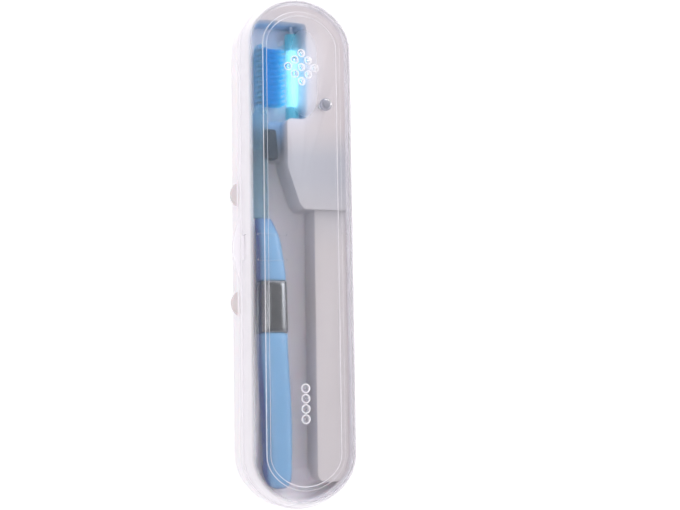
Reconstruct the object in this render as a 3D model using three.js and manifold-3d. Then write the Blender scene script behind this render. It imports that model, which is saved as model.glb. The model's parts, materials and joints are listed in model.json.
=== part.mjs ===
// A travel case that lies flat round one toothbrush and lights its bristles with a small ultraviolet lamp.
// Millimetres. +Z points out of the lid, +Y towards the brush head, +X towards the hinge.
// The origin is the middle of the flat back, on the surface that the case lies on.
import * as THREE from 'three';
import { mergeVertices } from 'three/addons/utils/BufferGeometryUtils.js';
import Module from 'manifold-3d';

const wasm = await Module();
wasm.setup();

// Clearances and fineness
const gap = 0.3;
const overrun = 3;
const mergeDistance = 1e-4;
const filletSteps = 4;
const cornerSteps = 4;
const crownSteps = 12;
const roundSteps = 6;
const easeSteps = 2;
const holeSteps = 12;
const drumSteps = 16;
const smallHoleSteps = 8;

// Walls
const baseWall = 2;
const lidWall = 1.5;
const coverWall = 1.2;

// Lengths along the case, foot end first, that its length follows from
const footMargin = 10.7;
const footBlock = 4.1;
const spring = { length: 5.6, wire: 0.35, turns: 4.5, footInset: 1.35, tipRadius: 2.6 };
const springSteps = { perTurn: 8, sides: 5 };
const contact = { thick: 0.4, side: 0.65, drop: 3.15 };
const cell = { radius: 5.25, length: 43.5, nubRadius: 1.9, nubLength: 1, edge: 0.5 };
const partitionThick = 1.2;
const wireRoom = 10.7;
const blockLength = 38.4;
const bayLength = 41.5;
const headMargin = 10.7;

// Widths across the case, latch side first, that its width follows from
const brushInset = 9.6;
const headThick = 2.7;
const pad = { thick: 0.6, halfWidth: 4.7, corner: 2.2, footRoom: 5.9, headRoom: 10.4 };
const strand = { length: 9.5, radius: 0.2, tipRadius: 0.12, waveDepth: 0.9, root: 0.3 };
const strandSides = 3;
const strandWaveRows = 3;
const lampGap = 0.8;
const lamp = { radius: 2.4, dome: 1.2, footGap: 1.1, headGap: 5.6 };
const boot = { radius: 2.9, length: 5, bottom: 2.2, lip: 0.35, side: 1 };
const boardSide = 1;
const boardWidth = 13.4;
const boardInset = 4.6;

// Base tray
const endRise = 22.7;
const endCornerShare = 0.9;
const baseFillet = 6.5;
const rimHeight = 12.8;
const tongue = { inset: 1.2, rise: 1.2 };
const tabs = { reach: 2.9, chord: 10, centre: 22.7, thick: 1.9, root: 0.8 };
const boardPostRadius = 1.6;
const boss = { radius: 3.2, height: 2.4 };

// Lid
const lidHeight = 10.8;
const lip = { rise: 2.5, step: 0.6, draft: 0.3 };
const shoulder = { rise: 5, run: 4.6 };
const border = { inset: 7.9, width: 1.5, rise: 0.4, bevel: 0.2 };
const thumbLip = { reach: 3, halfLength: 16.1, thick: 2, root: 0.7 };
const thumbLipSteps = 16;
const headVents = { step: 3, radius: 1.8 };
const headVentsAcross = 3;
const footVents = { fromEnd: 49.5, pitch: 4.2, radius: 2 };
const footVentCount = 4;
const vent = { holeRadius: 0.5, depth: 0.55, rise: 0.25 };
const dishShare = 0.72;
const crestShare = 0.84;

// Latch between the thumb lip and the base
const hook = { width: 10, thick: 1.2, reach: 3.8, barbRise: 1.4, barb: 0.2, root: 3.3, lead: 0.6 };
const grooveDepth = 0.7;
const latchWindow = { side: 0.25, rise: 4.4, inset: 1.6 };
const lidRib = { side: 0.2, thick: 0.7, deep: 0.8, inner: 7 };

// Hinge
const hinge = { out: 1, height: 7.4, radius: 1.8, pinRadius: 0.7, web: 0.9 };
const knuckle = { middle: 8, lid: 8.2, end: 10, space: 0.4 };
const arm = { root: 0.7, out: 1.3, drop: 2.3 };

// Inner cover
const coverDraft = 1.5;
const landSide = 2.1;
const blockDrop = 2.1;
const ledge = { top: 7.4, width: 6, length: 17, corner: 2.5, side: 0.45 };
const bayCorner = 2.5;
const block = { slantHead: 20.3, slantFoot: 2.5, slantRun: 5.2, chamfer: 2, corner: 2 };
const postRadius = 2.4;

// Battery door
const door = { side: 0.6, corner: 1.5 };
const doorTongue = { width: 2.6, inset: 1.85, thick: 0.9, reach: 2, root: 1.1 };
const doorGrip = { radius: 0.7, sunk: 0.35, pitch: 2.2, fromEnd: 6, inset: 1.65 };
const doorGripCount = 4;
const doorRidge = { length: 1, rise: 0.7, inset: 2.25 };

// Screws that hold the inner cover from the back
const screw = { headRadius: 2, headHeight: 1, sunk: 0.4, shankRadius: 1, length: 8 };
const screwSocket = { radius: 1, depth: 0.6 };
const headScrew = { fromBoard: 6, fromBay: 9 };
const bayScrew = { fromBlock: 4.7, fromBay: 9.5 };
const middleScrewUp = 6.9;
const footScrew = { aside: 4.15, up: 2.6 };

// Lamp cradle and brush rest, moulded on the base
const cradle = { below: 1.2, halfWidth: 3.5, thick: 2 };
const neckRest = { fromBay: 11.5, thick: 1.6, side: 1.65 };

// Circuit board and what stands on it
const board = { under: 5.3, thick: 1.6, notch: 3, footRoom: 12.9, pastBay: 22.5 };
const core = { inset: 0.4, far: 1, up: 10, headroom: 1.1, limb: 1.9, thick: 5 };
const windingThick = 1.7;
const capacitor = { inset: 3.6, up: 17.5, length: 8.5, radius: 2.4, edge: 0.4 };
const chip = { inset: 3.1, up: 6.2, width: 4, length: 5, height: 1.5, mark: 0.5 };
const switchBody = { size: 6, height: 3.6, wellBottom: 0.7 };

// Button in the lid and the plunger below it
const travel = 0.8;
const plunger = { radius: 1.3, proud: 0.5 };
const button = { aside: 4.3, up: 5.8, radius: 1.7, side: 0.4, brim: 1, flange: 0.8, waist: 0.6, dome: 0.3 };

// Leads
const wireRadius = 0.6;
const wireSides = 6;
const leadSteps = 16;
const longLeadSteps = 26;
const plusLeadRise = 1.75;

// Toothbrush
const brushSides = 16;
const sectionPower = 2.3;
const head = { halfWidth: 5.2, round: 3.6, footMargin: 0.4, tipMargin: 1.8, taper: 3.5 };
const neck = { inset: 11.05, radius: 3.3, length: 47.6, bevel: 0.5 };
const handle = { halfWidth: 6, halfDepth: 6.3, footRoom: 8.3, tipInset: 17.6, neckInset: 12.1 };
const band = { fromNeck: 26.3, length: 22.2, thick: 0.8 };
const clip = { fromBay: 4.5, length: 12.6, inset: 1.05, rise: 4.6, corner: 1.2 };
const clipWidth = { head: 4.7, foot: 5.8 };

// Bristle tufts
const tuft = { rowPitch: 2.25, rowEdge: 1.35, columnPitch: 2.2, columnEdge: 1.4, strandPitch: 0.56 };
const strandsAcross = 3;

// Handle sections from the foot end: shares of its length, its sideways run, its half width and half depth
const handleShares = [
  { along: 0, aside: 0, across: 0.3, deep: 0.28 },
  { along: 0.003, aside: 0, across: 0.5, deep: 0.46 },
  { along: 0.016, aside: 0.01, across: 0.76, deep: 0.78 },
  { along: 0.047, aside: 0.02, across: 0.88, deep: 0.95 },
  { along: 0.11, aside: 0.03, across: 0.92, deep: 0.99 },
  { along: 0.25, aside: 0.06, across: 0.965, deep: 1 },
  { along: 0.572, aside: 0.355, across: 1, deep: 1 },
  { along: 0.772, aside: 0.38, across: 0.943, deep: 1 },
  { along: 0.884, aside: 0.51, across: 0.817, deep: 0.88 },
  { along: 0.94, aside: 0.66, across: 0.735, deep: 0.74 },
  { along: 0.97, aside: 0.82, across: 0.66, deep: 0.6 },
  { along: 1, aside: 1, across: 0.53, deep: 0.5 },
];

// Rounding of the brush head's tip: shares of its round and of its half width
const headTipShares = [
  { along: 1, across: 1 },
  { along: 0.45, across: 0.88 },
  { along: 0.14, across: 0.64 },
  { along: 0, across: 0.35 },
];

// The case's size
const cellWhole = cell.length + cell.nubLength;
const springRoom = gap + contact.thick + spring.length;
const powerLength = coverWall + footBlock + springRoom + 2 * (gap + cellWhole) + gap + contact.thick + gap
  + partitionThick;
const caseLength = footMargin + powerLength + wireRoom + blockLength + bayLength + headMargin;
const brushWidth = headThick + gap + pad.thick + strand.length;
const lampWidth = lampGap + lamp.radius + boot.radius + boot.side;
const caseWidth = brushInset + brushWidth + lampWidth + coverWall + boardSide + boardWidth + boardInset;
const halfLength = caseLength / 2;
const halfWidth = caseWidth / 2;
const fromLeft = (inset) => inset - halfWidth;
const beyond = caseLength;

// Outline of the case's ends
const straightHalf = halfLength - endRise;
const endCornerRadius = endRise * endCornerShare;
const cornerX = halfWidth - endCornerRadius;
const crownRadius = (cornerX ** 2 + endRise ** 2 - endCornerRadius ** 2)
  / (2 * (endRise - endCornerRadius));
const crownY = straightHalf + endRise - crownRadius;
const cornerAngle = Math.atan2(straightHalf - crownY, cornerX);

// Heights
const lidTop = rimHeight + lidHeight;
const ceiling = lidTop - lidWall;
const shoulderFoot = lidTop - shoulder.rise;
const lipBottom = rimHeight + gap;
const lipTop = lipBottom + lip.rise;
const tongueTop = rimHeight + tongue.rise;
const coverFoot = baseWall + gap;
const blockTop = shoulderFoot - blockDrop;
const bossTop = baseWall + boss.height;
const boardTop = board.under + board.thick;
const partsFloor = boardTop + gap;
const brushHeight = baseWall + gap + handle.halfDepth;
const plungerTop = blockTop + plunger.proud;
const plungerFoot = partsFloor + switchBody.wellBottom + gap + travel;

// Cells and contacts
const cellX = halfWidth - baseWall - gap - landSide - gap - cell.radius;
const cellZ = baseWall + gap + cell.radius;
const cellRoom = cell.radius + gap;
const landLeft = cellX - cellRoom - coverWall;
const landTop = cellZ + cellRoom + coverWall;
const landFoot = footMargin - halfLength;
const cellBayFoot = landFoot + coverWall + footBlock;
const springPlateFoot = cellBayFoot + gap;
const rearCellFoot = cellBayFoot + springRoom + gap;
const frontCellFoot = rearCellFoot + cellWhole + gap;
const platePlace = frontCellFoot + cellWhole + gap;
const doorwayHead = platePlace + contact.thick;
const partitionFoot = doorwayHead + gap;
const partitionHead = partitionFoot + partitionThick;

// Lamp bay, lamp and block
const blockFoot = partitionHead + wireRoom;
const bayFoot = blockFoot + blockLength;
const bayHead = bayFoot + bayLength;
const lampX = fromLeft(brushInset + brushWidth + lampGap + lamp.radius);
const lampFoot = bayFoot + lamp.footGap;
const lampEnd = bayHead - lamp.headGap;
const bayRight = lampX + boot.radius + boot.side;
const neckX = fromLeft(neck.inset);
const ledgeLeft = neckX + neck.radius + ledge.side;
const blockLeft = ledgeLeft + ledge.width;

// Board
const boardLeft = bayRight + coverWall + boardSide;
const boardRight = boardLeft + boardWidth;
const boardFoot = blockFoot + board.footRoom;
const boardHead = bayFoot + board.pastBay;
const coreLeft = boardLeft + core.inset;
const coreRight = boardRight - core.far;
const coreX = (coreLeft + coreRight) / 2;
const coreY = boardFoot + core.up;
const coreTop = blockTop - coverWall - core.headroom;
const buttonX = boardLeft + button.aside;
const buttonY = bayFoot + button.up;

// Brush
const padFoot = bayFoot + pad.footRoom;
const padHead = bayHead - pad.headRoom;
const padBack = fromLeft(brushInset + headThick + gap);
const padFront = padBack + pad.thick;
const headFoot = padFoot - head.footMargin;
const headTip = padHead + head.tipMargin;
const neckFoot = headFoot - neck.length;
const handleHead = neckFoot - gap;
const handleFoot = handle.footRoom - halfLength;
const bandHead = neckFoot - band.fromNeck;
const bandFoot = bandHead - band.length;

// Leads beside the cells and over the board
const plusLeadZ = cellZ + plusLeadRise;
const minusLeadX = cellX - cellRoom + gap + wireRadius;
const minusLeadZ = landTop - coverWall - gap - wireRadius;
const onBoard = partsFloor + wireRadius;

const screwSpots = [
  { name: 'cover_screw_head', x: boardLeft + headScrew.fromBoard, y: bayHead - headScrew.fromBay },
  { name: 'cover_screw_bay', x: blockLeft + bayScrew.fromBlock, y: bayFoot - bayScrew.fromBay },
  { name: 'cover_screw_middle', x: cellX, y: blockFoot + middleScrewUp },
  { name: 'cover_screw_foot', x: cellX - footScrew.aside, y: landFoot + footScrew.up },
];

// A closed three.js geometry as a solid
function solidFrom(geometry) {
  const bare = geometry.index ? geometry.toNonIndexed() : geometry.clone();
  bare.deleteAttribute('normal');
  bare.deleteAttribute('uv');
  const merged = mergeVertices(bare, mergeDistance);
  return new wasm.Manifold(new wasm.Mesh({
    numProp: 3,
    vertProperties: merged.attributes.position.array,
    triVerts: new Uint32Array(merged.index.array),
  }));
}

// A solid as a three.js geometry with flat faces
function geometryFrom(solid) {
  const mesh = solid.getMesh();
  const geometry = new THREE.BufferGeometry();
  geometry.setAttribute('position', new THREE.BufferAttribute(new Float32Array(mesh.vertProperties), 3));
  geometry.setIndex(new THREE.BufferAttribute(new Uint32Array(mesh.triVerts), 1));
  const flat = geometry.toNonIndexed();
  flat.computeVertexNormals();
  return flat;
}

const join = (first, ...others) => others.reduce((sum, solid) => sum.add(solid), first);
const cut = (first, ...others) => others.reduce((rest, solid) => rest.subtract(solid), first);

// A flat shape drawn across an axis and drawn out along it from low to high
function prism(shape, axis, low, high, curveSegments = roundSteps) {
  const settings = { depth: high - low, bevelEnabled: false, curveSegments };
  const geometry = new THREE.ExtrudeGeometry(shape, settings);
  const [x, y, z] = [new THREE.Vector3(1, 0, 0), new THREE.Vector3(0, 1, 0), new THREE.Vector3(0, 0, 1)];
  const turn = new THREE.Matrix4();
  if (axis === 'x') turn.makeBasis(y, z, x).setPosition(low, 0, 0);
  if (axis === 'y') turn.makeBasis(x, z, y.clone().negate()).setPosition(0, high, 0);
  if (axis === 'z') turn.setPosition(0, 0, low);
  return solidFrom(geometry.applyMatrix4(turn));
}

const polygon = (points) => new THREE.Shape(points.map(([a, b]) => new THREE.Vector2(a, b)));
const rectangle = (a0, b0, a1, b1) => polygon([[a0, b0], [a1, b0], [a1, b1], [a0, b1]]);

// A round bar along an axis, centred at (a, b) across it
function peg(axis, a, b, radius, low, high, steps = holeSteps) {
  const shape = new THREE.Shape();
  shape.absarc(a, b, radius, 0, 2 * Math.PI);
  return prism(shape, axis, low, high, steps);
}

// A block between two corners seen from above, from low to high
const slab = (x0, y0, x1, y1, low, high) => prism(rectangle(x0, y0, x1, y1), 'z', low, high);

// An outline whose corners { x, y, round } are eased over the length round on both sides
function rounded(corners) {
  const shape = new THREE.Shape();
  const count = corners.length;
  corners.forEach((corner, i) => {
    const here = new THREE.Vector2(corner.x, corner.y);
    const before = corners[(i + count - 1) % count];
    const after = corners[(i + 1) % count];
    const back = new THREE.Vector2(before.x, before.y).sub(here);
    const on = new THREE.Vector2(after.x, after.y).sub(here);
    const enter = here.clone().addScaledVector(back.normalize(), corner.round);
    const leave = here.clone().addScaledVector(on.normalize(), corner.round);
    if (i === 0) shape.moveTo(enter.x, enter.y);
    else shape.lineTo(enter.x, enter.y);
    if (corner.round > 0) shape.quadraticCurveTo(here.x, here.y, leave.x, leave.y);
  });
  shape.closePath();
  return shape;
}

const roundedBox = (x0, y0, x1, y1, round) => rounded([
  { x: x0, y: y0, round }, { x: x1, y: y0, round }, { x: x1, y: y1, round }, { x: x0, y: y1, round },
]);

// The same corners, each edge moved inwards by a distance; the corners run counterclockwise
function shrink(corners, distance) {
  const count = corners.length;
  return corners.map((corner, i) => {
    const before = corners[(i + count - 1) % count];
    const after = corners[(i + 1) % count];
    const into = new THREE.Vector2(corner.x - before.x, corner.y - before.y).normalize();
    const out = new THREE.Vector2(after.x - corner.x, after.y - corner.y).normalize();
    const normalIn = new THREE.Vector2(-into.y, into.x);
    const normalOut = new THREE.Vector2(-out.y, out.x);
    const shift = normalIn.clone().add(normalOut);
    shift.multiplyScalar(distance / (1 + normalIn.dot(normalOut)));
    return { x: corner.x + shift.x, y: corner.y + shift.y, round: corner.round };
  });
}

// Points on an arc, its end left out
function arcPoints(x, y, radius, from, to, steps) {
  return Array.from({ length: steps }, (_, i) => {
    const angle = from + ((to - from) * i) / steps;
    return new THREE.Vector2(x + radius * Math.cos(angle), y + radius * Math.sin(angle));
  });
}

// The case's outline at an inset, counterclockwise from the head end of the right side
function caseOutline(inset) {
  const corner = endCornerRadius - inset;
  const half = [
    ...arcPoints(cornerX, straightHalf, corner, 0, cornerAngle, cornerSteps),
    ...arcPoints(0, crownY, crownRadius - inset, cornerAngle, Math.PI - cornerAngle, crownSteps),
    ...arcPoints(-cornerX, straightHalf, corner, Math.PI - cornerAngle, Math.PI, cornerSteps),
    new THREE.Vector2(fromLeft(inset), straightHalf),
  ];
  return [...half, ...half.map((point) => point.clone().negate())];
}

// A closed body through rings of points; each end is closed by a fan from the ring's middle
function skin(rings, firstMiddle, lastMiddle) {
  const count = rings[0].length;
  const positions = [...rings.flat(), firstMiddle, lastMiddle].flatMap((p) => [p.x, p.y, p.z]);
  const first = rings.length * count;
  const last = first + 1;
  const lastRing = (rings.length - 1) * count;
  const indices = [];
  for (let j = 0; j < count; j += 1) {
    const next = (j + 1) % count;
    indices.push(first, next, j);
    indices.push(last, lastRing + j, lastRing + next);
    for (let ring = 0; ring < lastRing; ring += count) {
      const above = ring + count;
      indices.push(ring + j, ring + next, above + next);
      indices.push(ring + j, above + next, above + j);
    }
  }
  const geometry = new THREE.BufferGeometry();
  geometry.setAttribute('position', new THREE.Float32BufferAttribute(positions, 3));
  geometry.setIndex(indices);
  return geometry;
}

// The case's outline lofted through rows { inset, z }, one face after the other
function caseLoft(rows) {
  const ring = ({ inset, z }) => caseOutline(inset).map((p) => new THREE.Vector3(p.x, p.y, z));
  const middle = (row) => new THREE.Vector3(0, 0, row.z);
  return solidFrom(skin(rows.map(ring), middle(rows[0]), middle(rows[rows.length - 1])));
}

// Rows on a quarter of an ellipse in the wall's section
function quarterRows(inset, z, run, rise, from, to) {
  return Array.from({ length: filletSteps + 1 }, (_, i) => {
    const angle = from + ((to - from) * i) / filletSteps;
    return { inset: inset - run * Math.cos(angle), z: z + rise * Math.sin(angle) };
  });
}

// Rows of the base's rounded edge, at a depth inside its outer face, bottom first
const edgeRows = (depth) => {
  const radius = baseFillet - depth;
  return quarterRows(baseFillet, baseFillet, radius, radius, -Math.PI / 2, 0);
};

// A revolved body about a line along Z; points are [radius, z]
function turned(points, x, y, steps = holeSteps) {
  const geometry = new THREE.LatheGeometry(points.map(([r, z]) => new THREE.Vector2(r, z)), steps);
  return solidFrom(geometry.rotateX(Math.PI / 2).translate(x, y, 0));
}

// A revolved body about a line along Y; points are [radius, y]
function turnedAlongY(points, x, z, steps = drumSteps) {
  const geometry = new THREE.LatheGeometry(points.map(([r, y]) => new THREE.Vector2(r, y)), steps);
  return solidFrom(geometry.translate(x, 0, z));
}

// A drum along Y with both rims eased; points for a revolved body
const drumPoints = (radius, foot, end, easeAcross, easeAlong) => [
  [0, foot],
  [radius - easeAcross, foot],
  [radius, foot + easeAlong],
  [radius, end - easeAlong],
  [radius - easeAcross, end],
  [0, end],
];

// A round tube along a curve
function tubeAlong(curve, radius, steps, sides) {
  const section = new THREE.Shape(arcPoints(0, 0, radius, 0, 2 * Math.PI, sides));
  const settings = { steps, extrudePath: curve, bevelEnabled: false };
  return solidFrom(new THREE.ExtrudeGeometry(section, settings));
}

// The room inside the base and lid, kept clear of the walls by a distance; it narrows above the rim
const innerRoom = (clearance) => caseLoft([
  ...edgeRows(baseWall + clearance),
  { inset: baseWall + clearance, z: rimHeight },
  { inset: baseWall + clearance + coverDraft, z: ceiling },
]);

const baseBody = () => caseLoft([...edgeRows(0), { inset: 0, z: rimHeight }]);

const baseTray = () => caseLoft([
  ...edgeRows(0),
  { inset: 0, z: rimHeight },
  { inset: tongue.inset, z: rimHeight },
  { inset: tongue.inset, z: tongueTop },
  { inset: baseWall, z: tongueTop },
  ...edgeRows(baseWall).reverse(),
]);

// Half-round finger tabs on the rim, one each side of the thumb lip
function fingerTab(y) {
  const radius = ((tabs.chord / 2) ** 2 + tabs.reach ** 2) / (2 * tabs.reach);
  const centre = tabs.reach - radius;
  const reach = Math.acos((-tabs.root - centre) / radius);
  const shape = new THREE.Shape();
  shape.absarc(-halfWidth - centre, y, radius, Math.PI - reach, Math.PI + reach);
  return prism(shape, 'z', rimHeight - tabs.thick, rimHeight, holeSteps);
}

const hingeX = halfWidth + hinge.out;

// Where the hinge knuckles stand along the hinge line
function knuckleSpans() {
  const middle = knuckle.middle / 2;
  const lidFrom = middle + knuckle.space;
  const lidTo = lidFrom + knuckle.lid;
  const endFrom = lidTo + knuckle.space;
  const endTo = endFrom + knuckle.end;
  return {
    base: [[-endTo, -endFrom], [-middle, middle], [endFrom, endTo]],
    lid: [[-lidTo, -lidFrom], [lidFrom, lidTo]],
    whole: endTo,
  };
}

function baseKnuckle([from, to]) {
  const low = hinge.height - hinge.radius;
  const high = hinge.height + hinge.radius;
  const web = prism(rectangle(halfWidth - hinge.web, low, hingeX, high), 'y', from, to);
  return join(peg('y', hingeX, hinge.height, hinge.radius, from, to), web);
}

function pinBore() {
  const reach = knuckleSpans().whole + overrun;
  return peg('y', hingeX, hinge.height, hinge.pinRadius + gap, -reach, reach, smallHoleSteps);
}

// The doorway under the cells, seen from above
const doorwayShape = (clearance) => roundedBox(
  cellX - cell.radius - door.side + clearance,
  cellBayFoot + clearance,
  cellX + cell.radius + door.side - clearance,
  doorwayHead - clearance,
  door.corner,
);

function boardPosts() {
  const inset = board.notch + boardPostRadius;
  const spots = [[boardLeft + inset, boardFoot + inset], [boardRight - inset, boardHead - inset]];
  return spots.map(([x, y]) => peg('z', x, y, boardPostRadius, baseWall / 2, board.under - gap));
}

// A saddle under the head end of the lamp
function lampCradle() {
  const [left, right] = [lampX - cradle.halfWidth, lampX + cradle.halfWidth];
  const top = brushHeight - cradle.below;
  const plate = slab(left, lampEnd - cradle.thick, right, lampEnd, baseWall / 2, top);
  return cut(plate, peg('y', lampX, brushHeight, boot.radius + gap, lampEnd - overrun, lampEnd + overrun));
}

// A rib under the brush's neck
function brushRest() {
  const y = bayFoot - neckRest.fromBay;
  const half = neckRest.thick / 2;
  const left = neckX - neck.radius - neckRest.side;
  const rib = slab(left, y - half, ledgeLeft - gap, y + half, baseWall / 2, brushHeight);
  return cut(rib, peg('y', neckX, brushHeight, neck.radius + gap, y - overrun, y + overrun));
}

// The groove inside the base's wall that the latch hook reaches
function latchGroove() {
  const [outer, inner] = [fromLeft(baseWall - grooveDepth), fromLeft(baseWall + overrun)];
  const shape = rectangle(outer, rimHeight - hook.reach, inner, hookNeck() + gap);
  return prism(shape, 'y', -hook.width / 2 - gap, hook.width / 2 + gap);
}

function screwHoles({ x, y }) {
  const headTop = screw.sunk + screw.headHeight + gap;
  return [
    peg('z', x, y, screw.headRadius + gap, -overrun, headTop),
    peg('z', x, y, screw.shankRadius + gap, 0, bossTop + overrun, smallHoleSteps),
  ];
}

function baseShell() {
  const spans = knuckleSpans();
  const knuckleRoom = spans.lid.map(([from, to]) => peg(
    'y', hingeX, hinge.height, hinge.radius + gap, from - knuckle.space, to + knuckle.space,
  ));
  const body = join(
    baseTray(),
    fingerTab(tabs.centre),
    fingerTab(-tabs.centre),
    ...spans.base.map(baseKnuckle),
    ...screwSpots.map(({ x, y }) => peg('z', x, y, boss.radius, baseWall / 2, bossTop)),
    ...boardPosts(),
    lampCradle(),
    brushRest(),
  );
  const doorway = prism(doorwayShape(0), 'z', -overrun, bossTop + gap);
  return cut(body, pinBore(), ...knuckleRoom, latchGroove(), ...screwSpots.flatMap(screwHoles), doorway);
}

// Lid's moulded shell with the border line round its flat top
function lidCup() {
  const inner = lip.step + lidWall;
  const edge = lip.step + lip.draft + shoulder.run;
  const borderEnd = border.inset + border.width;
  const { run, rise } = shoulder;
  return caseLoft([
    ...quarterRows(edge, shoulderFoot, run - lidWall, rise - lidWall, Math.PI / 2, 0),
    { inset: inner, z: tongueTop + gap },
    { inset: tongue.inset - gap, z: tongueTop + gap },
    { inset: tongue.inset - gap, z: lipBottom },
    { inset: 0, z: lipBottom },
    { inset: 0, z: lipTop },
    { inset: lip.step, z: lipTop },
    ...quarterRows(edge, shoulderFoot, run, rise, 0, Math.PI / 2),
    { inset: border.inset - border.bevel, z: lidTop },
    { inset: border.inset, z: lidTop + border.rise },
    { inset: borderEnd, z: lidTop + border.rise },
    { inset: borderEnd + border.bevel, z: lidTop },
  ]);
}

// A swelling of the lip for the thumb, in one smooth wave
function thumbLipSolid() {
  const wave = Array.from({ length: thumbLipSteps + 1 }, (_, i) => {
    const along = (2 * i) / thumbLipSteps - 1;
    const reach = (thumbLip.reach * (1 + Math.cos(Math.PI * along))) / 2;
    return [-halfWidth - reach, -along * thumbLip.halfLength];
  });
  const root = fromLeft(thumbLip.root);
  const shape = polygon([...wave, [root, -thumbLip.halfLength], [root, thumbLip.halfLength]]);
  return prism(shape, 'z', lipBottom, lipBottom + thumbLip.thick);
}

// Height where the hook's barb ends and its stem goes on
const hookNeck = () => rimHeight - hook.reach + hook.lead + hook.barbRise;

// The hook that snaps behind the base's rim, hanging from the lid's wall
function latchHook() {
  const outer = baseWall + gap;
  const inner = outer + hook.thick;
  const foot = rimHeight - hook.reach;
  const root = tongueTop + gap + hook.root;
  const shape = polygon([
    [fromLeft(baseWall), root],
    [fromLeft(baseWall), tongueTop + gap],
    [fromLeft(outer), tongueTop],
    [fromLeft(outer), hookNeck()],
    [fromLeft(outer - hook.barb), hookNeck() - hook.lead],
    [fromLeft(outer - hook.barb), foot + hook.lead],
    [fromLeft(outer), foot],
    [fromLeft(inner), foot],
    [fromLeft(inner), root - hook.thick],
    [fromLeft(inner - hook.lead), root],
  ]);
  return prism(shape, 'y', -hook.width / 2, hook.width / 2);
}

function lidKnuckle([from, to]) {
  const shape = polygon([
    [halfWidth - arm.root, lipBottom],
    [halfWidth + gap, lipBottom - gap],
    [halfWidth + gap, hinge.height],
    [hingeX + hinge.radius, hinge.height],
    [halfWidth + arm.out, lipTop - arm.drop],
    [halfWidth, lipTop],
    [halfWidth - arm.root, lipTop],
  ]);
  return join(peg('y', hingeX, hinge.height, hinge.radius, from, to), prism(shape, 'y', from, to));
}

// The raised ring of a dished vent
function ventRing([x, y, radius]) {
  const inner = radius * dishShare;
  const root = lidTop - vent.rise;
  const crest = lidTop + vent.rise;
  const profile = [[inner, root], [radius, root], [radius, lidTop], [radius * crestShare, crest]];
  return turned([...profile, [inner, crest], [inner, root]], x, y);
}

// The dish and the hole through it
function ventCutter([x, y, radius]) {
  const dish = radius * dishShare;
  const low = ceiling - overrun;
  const high = lidTop + overrun;
  const hole = [[0, low], [vent.holeRadius, low], [vent.holeRadius, lidTop - vent.depth]];
  return turned([...hole, [dish, lidTop], [dish, high], [0, high]], x, y);
}

// A square grid of vents turned on its corner over the lamp, and a column near the foot
function ventSpots() {
  const middle = (headVentsAcross - 1) / 2;
  const centre = (bayFoot + bayHead) / 2;
  const spots = [];
  for (let i = -middle; i <= middle; i += 1) {
    for (let j = -middle; j <= middle; j += 1) {
      spots.push([(i - j) * headVents.step, centre + (i + j) * headVents.step, headVents.radius]);
    }
  }
  for (let i = 0; i < footVentCount; i += 1) {
    spots.push([0, footVents.fromEnd - halfLength - i * footVents.pitch, footVents.radius]);
  }
  return spots;
}

// Two low ribs under the lid's top, one each side of the latch
function lidRibs() {
  const from = fromLeft(lip.step + lip.draft + shoulder.run);
  return [-1, 1].map((side) => {
    const y = side * (hook.width / 2 + lidRib.side);
    const half = lidRib.thick / 2;
    return slab(from, y - half, -lidRib.inner, y + half, ceiling - lidRib.deep, ceiling + lidWall / 2);
  });
}

function latchWindowCut() {
  const inner = fromLeft(latchWindow.inset);
  const shape = rectangle(-halfWidth - overrun, lipTop, inner, lipTop + latchWindow.rise);
  const half = hook.width / 2 + latchWindow.side;
  return prism(shape, 'y', -half, half);
}

function lidShell() {
  const spots = ventSpots();
  const body = join(
    cut(lidCup(), latchWindowCut()),
    thumbLipSolid(),
    latchHook(),
    ...lidRibs(),
    ...knuckleSpans().lid.map(lidKnuckle),
    ...spots.map(ventRing),
  );
  const buttonHole = peg(
    'z', buttonX, buttonY, button.radius + button.side, ceiling - overrun, lidTop + overrun,
  );
  return cut(body, ...spots.map(ventCutter), pinBore(), buttonHole);
}

function hingePin() {
  const reach = knuckleSpans().whole;
  return peg('y', hingeX, hinge.height, hinge.pinRadius, -reach, reach, smallHoleSteps);
}

// Outline of the inner cover's high block, counterclockwise from its foot at the hinge side
function blockCorners() {
  const slantX = blockLeft + block.slantRun;
  const slantFoot = blockFoot + block.slantFoot;
  return [
    { x: beyond, y: blockFoot, round: 0 },
    { x: beyond, y: beyond, round: 0 },
    { x: -beyond, y: beyond, round: 0 },
    { x: -beyond, y: bayHead, round: 0 },
    { x: bayRight, y: bayHead, round: bayCorner },
    { x: bayRight, y: bayFoot, round: bayCorner },
    { x: blockLeft, y: bayFoot, round: block.corner },
    { x: blockLeft, y: bayFoot - block.slantHead, round: block.corner },
    { x: slantX, y: slantFoot, round: block.chamfer / 2 },
    { x: slantX + block.chamfer, y: blockFoot, round: block.chamfer / 2 },
  ];
}

function ledgeSolid() {
  const right = blockLeft + coverWall;
  const foot = bayFoot - ledge.length;
  return prism(rounded([
    { x: ledgeLeft, y: foot, round: ledge.corner },
    { x: right, y: foot, round: 0 },
    { x: right, y: bayFoot, round: 0 },
    { x: ledgeLeft, y: bayFoot, round: ledge.corner },
  ]), 'z', coverFoot, ledge.top);
}

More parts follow.
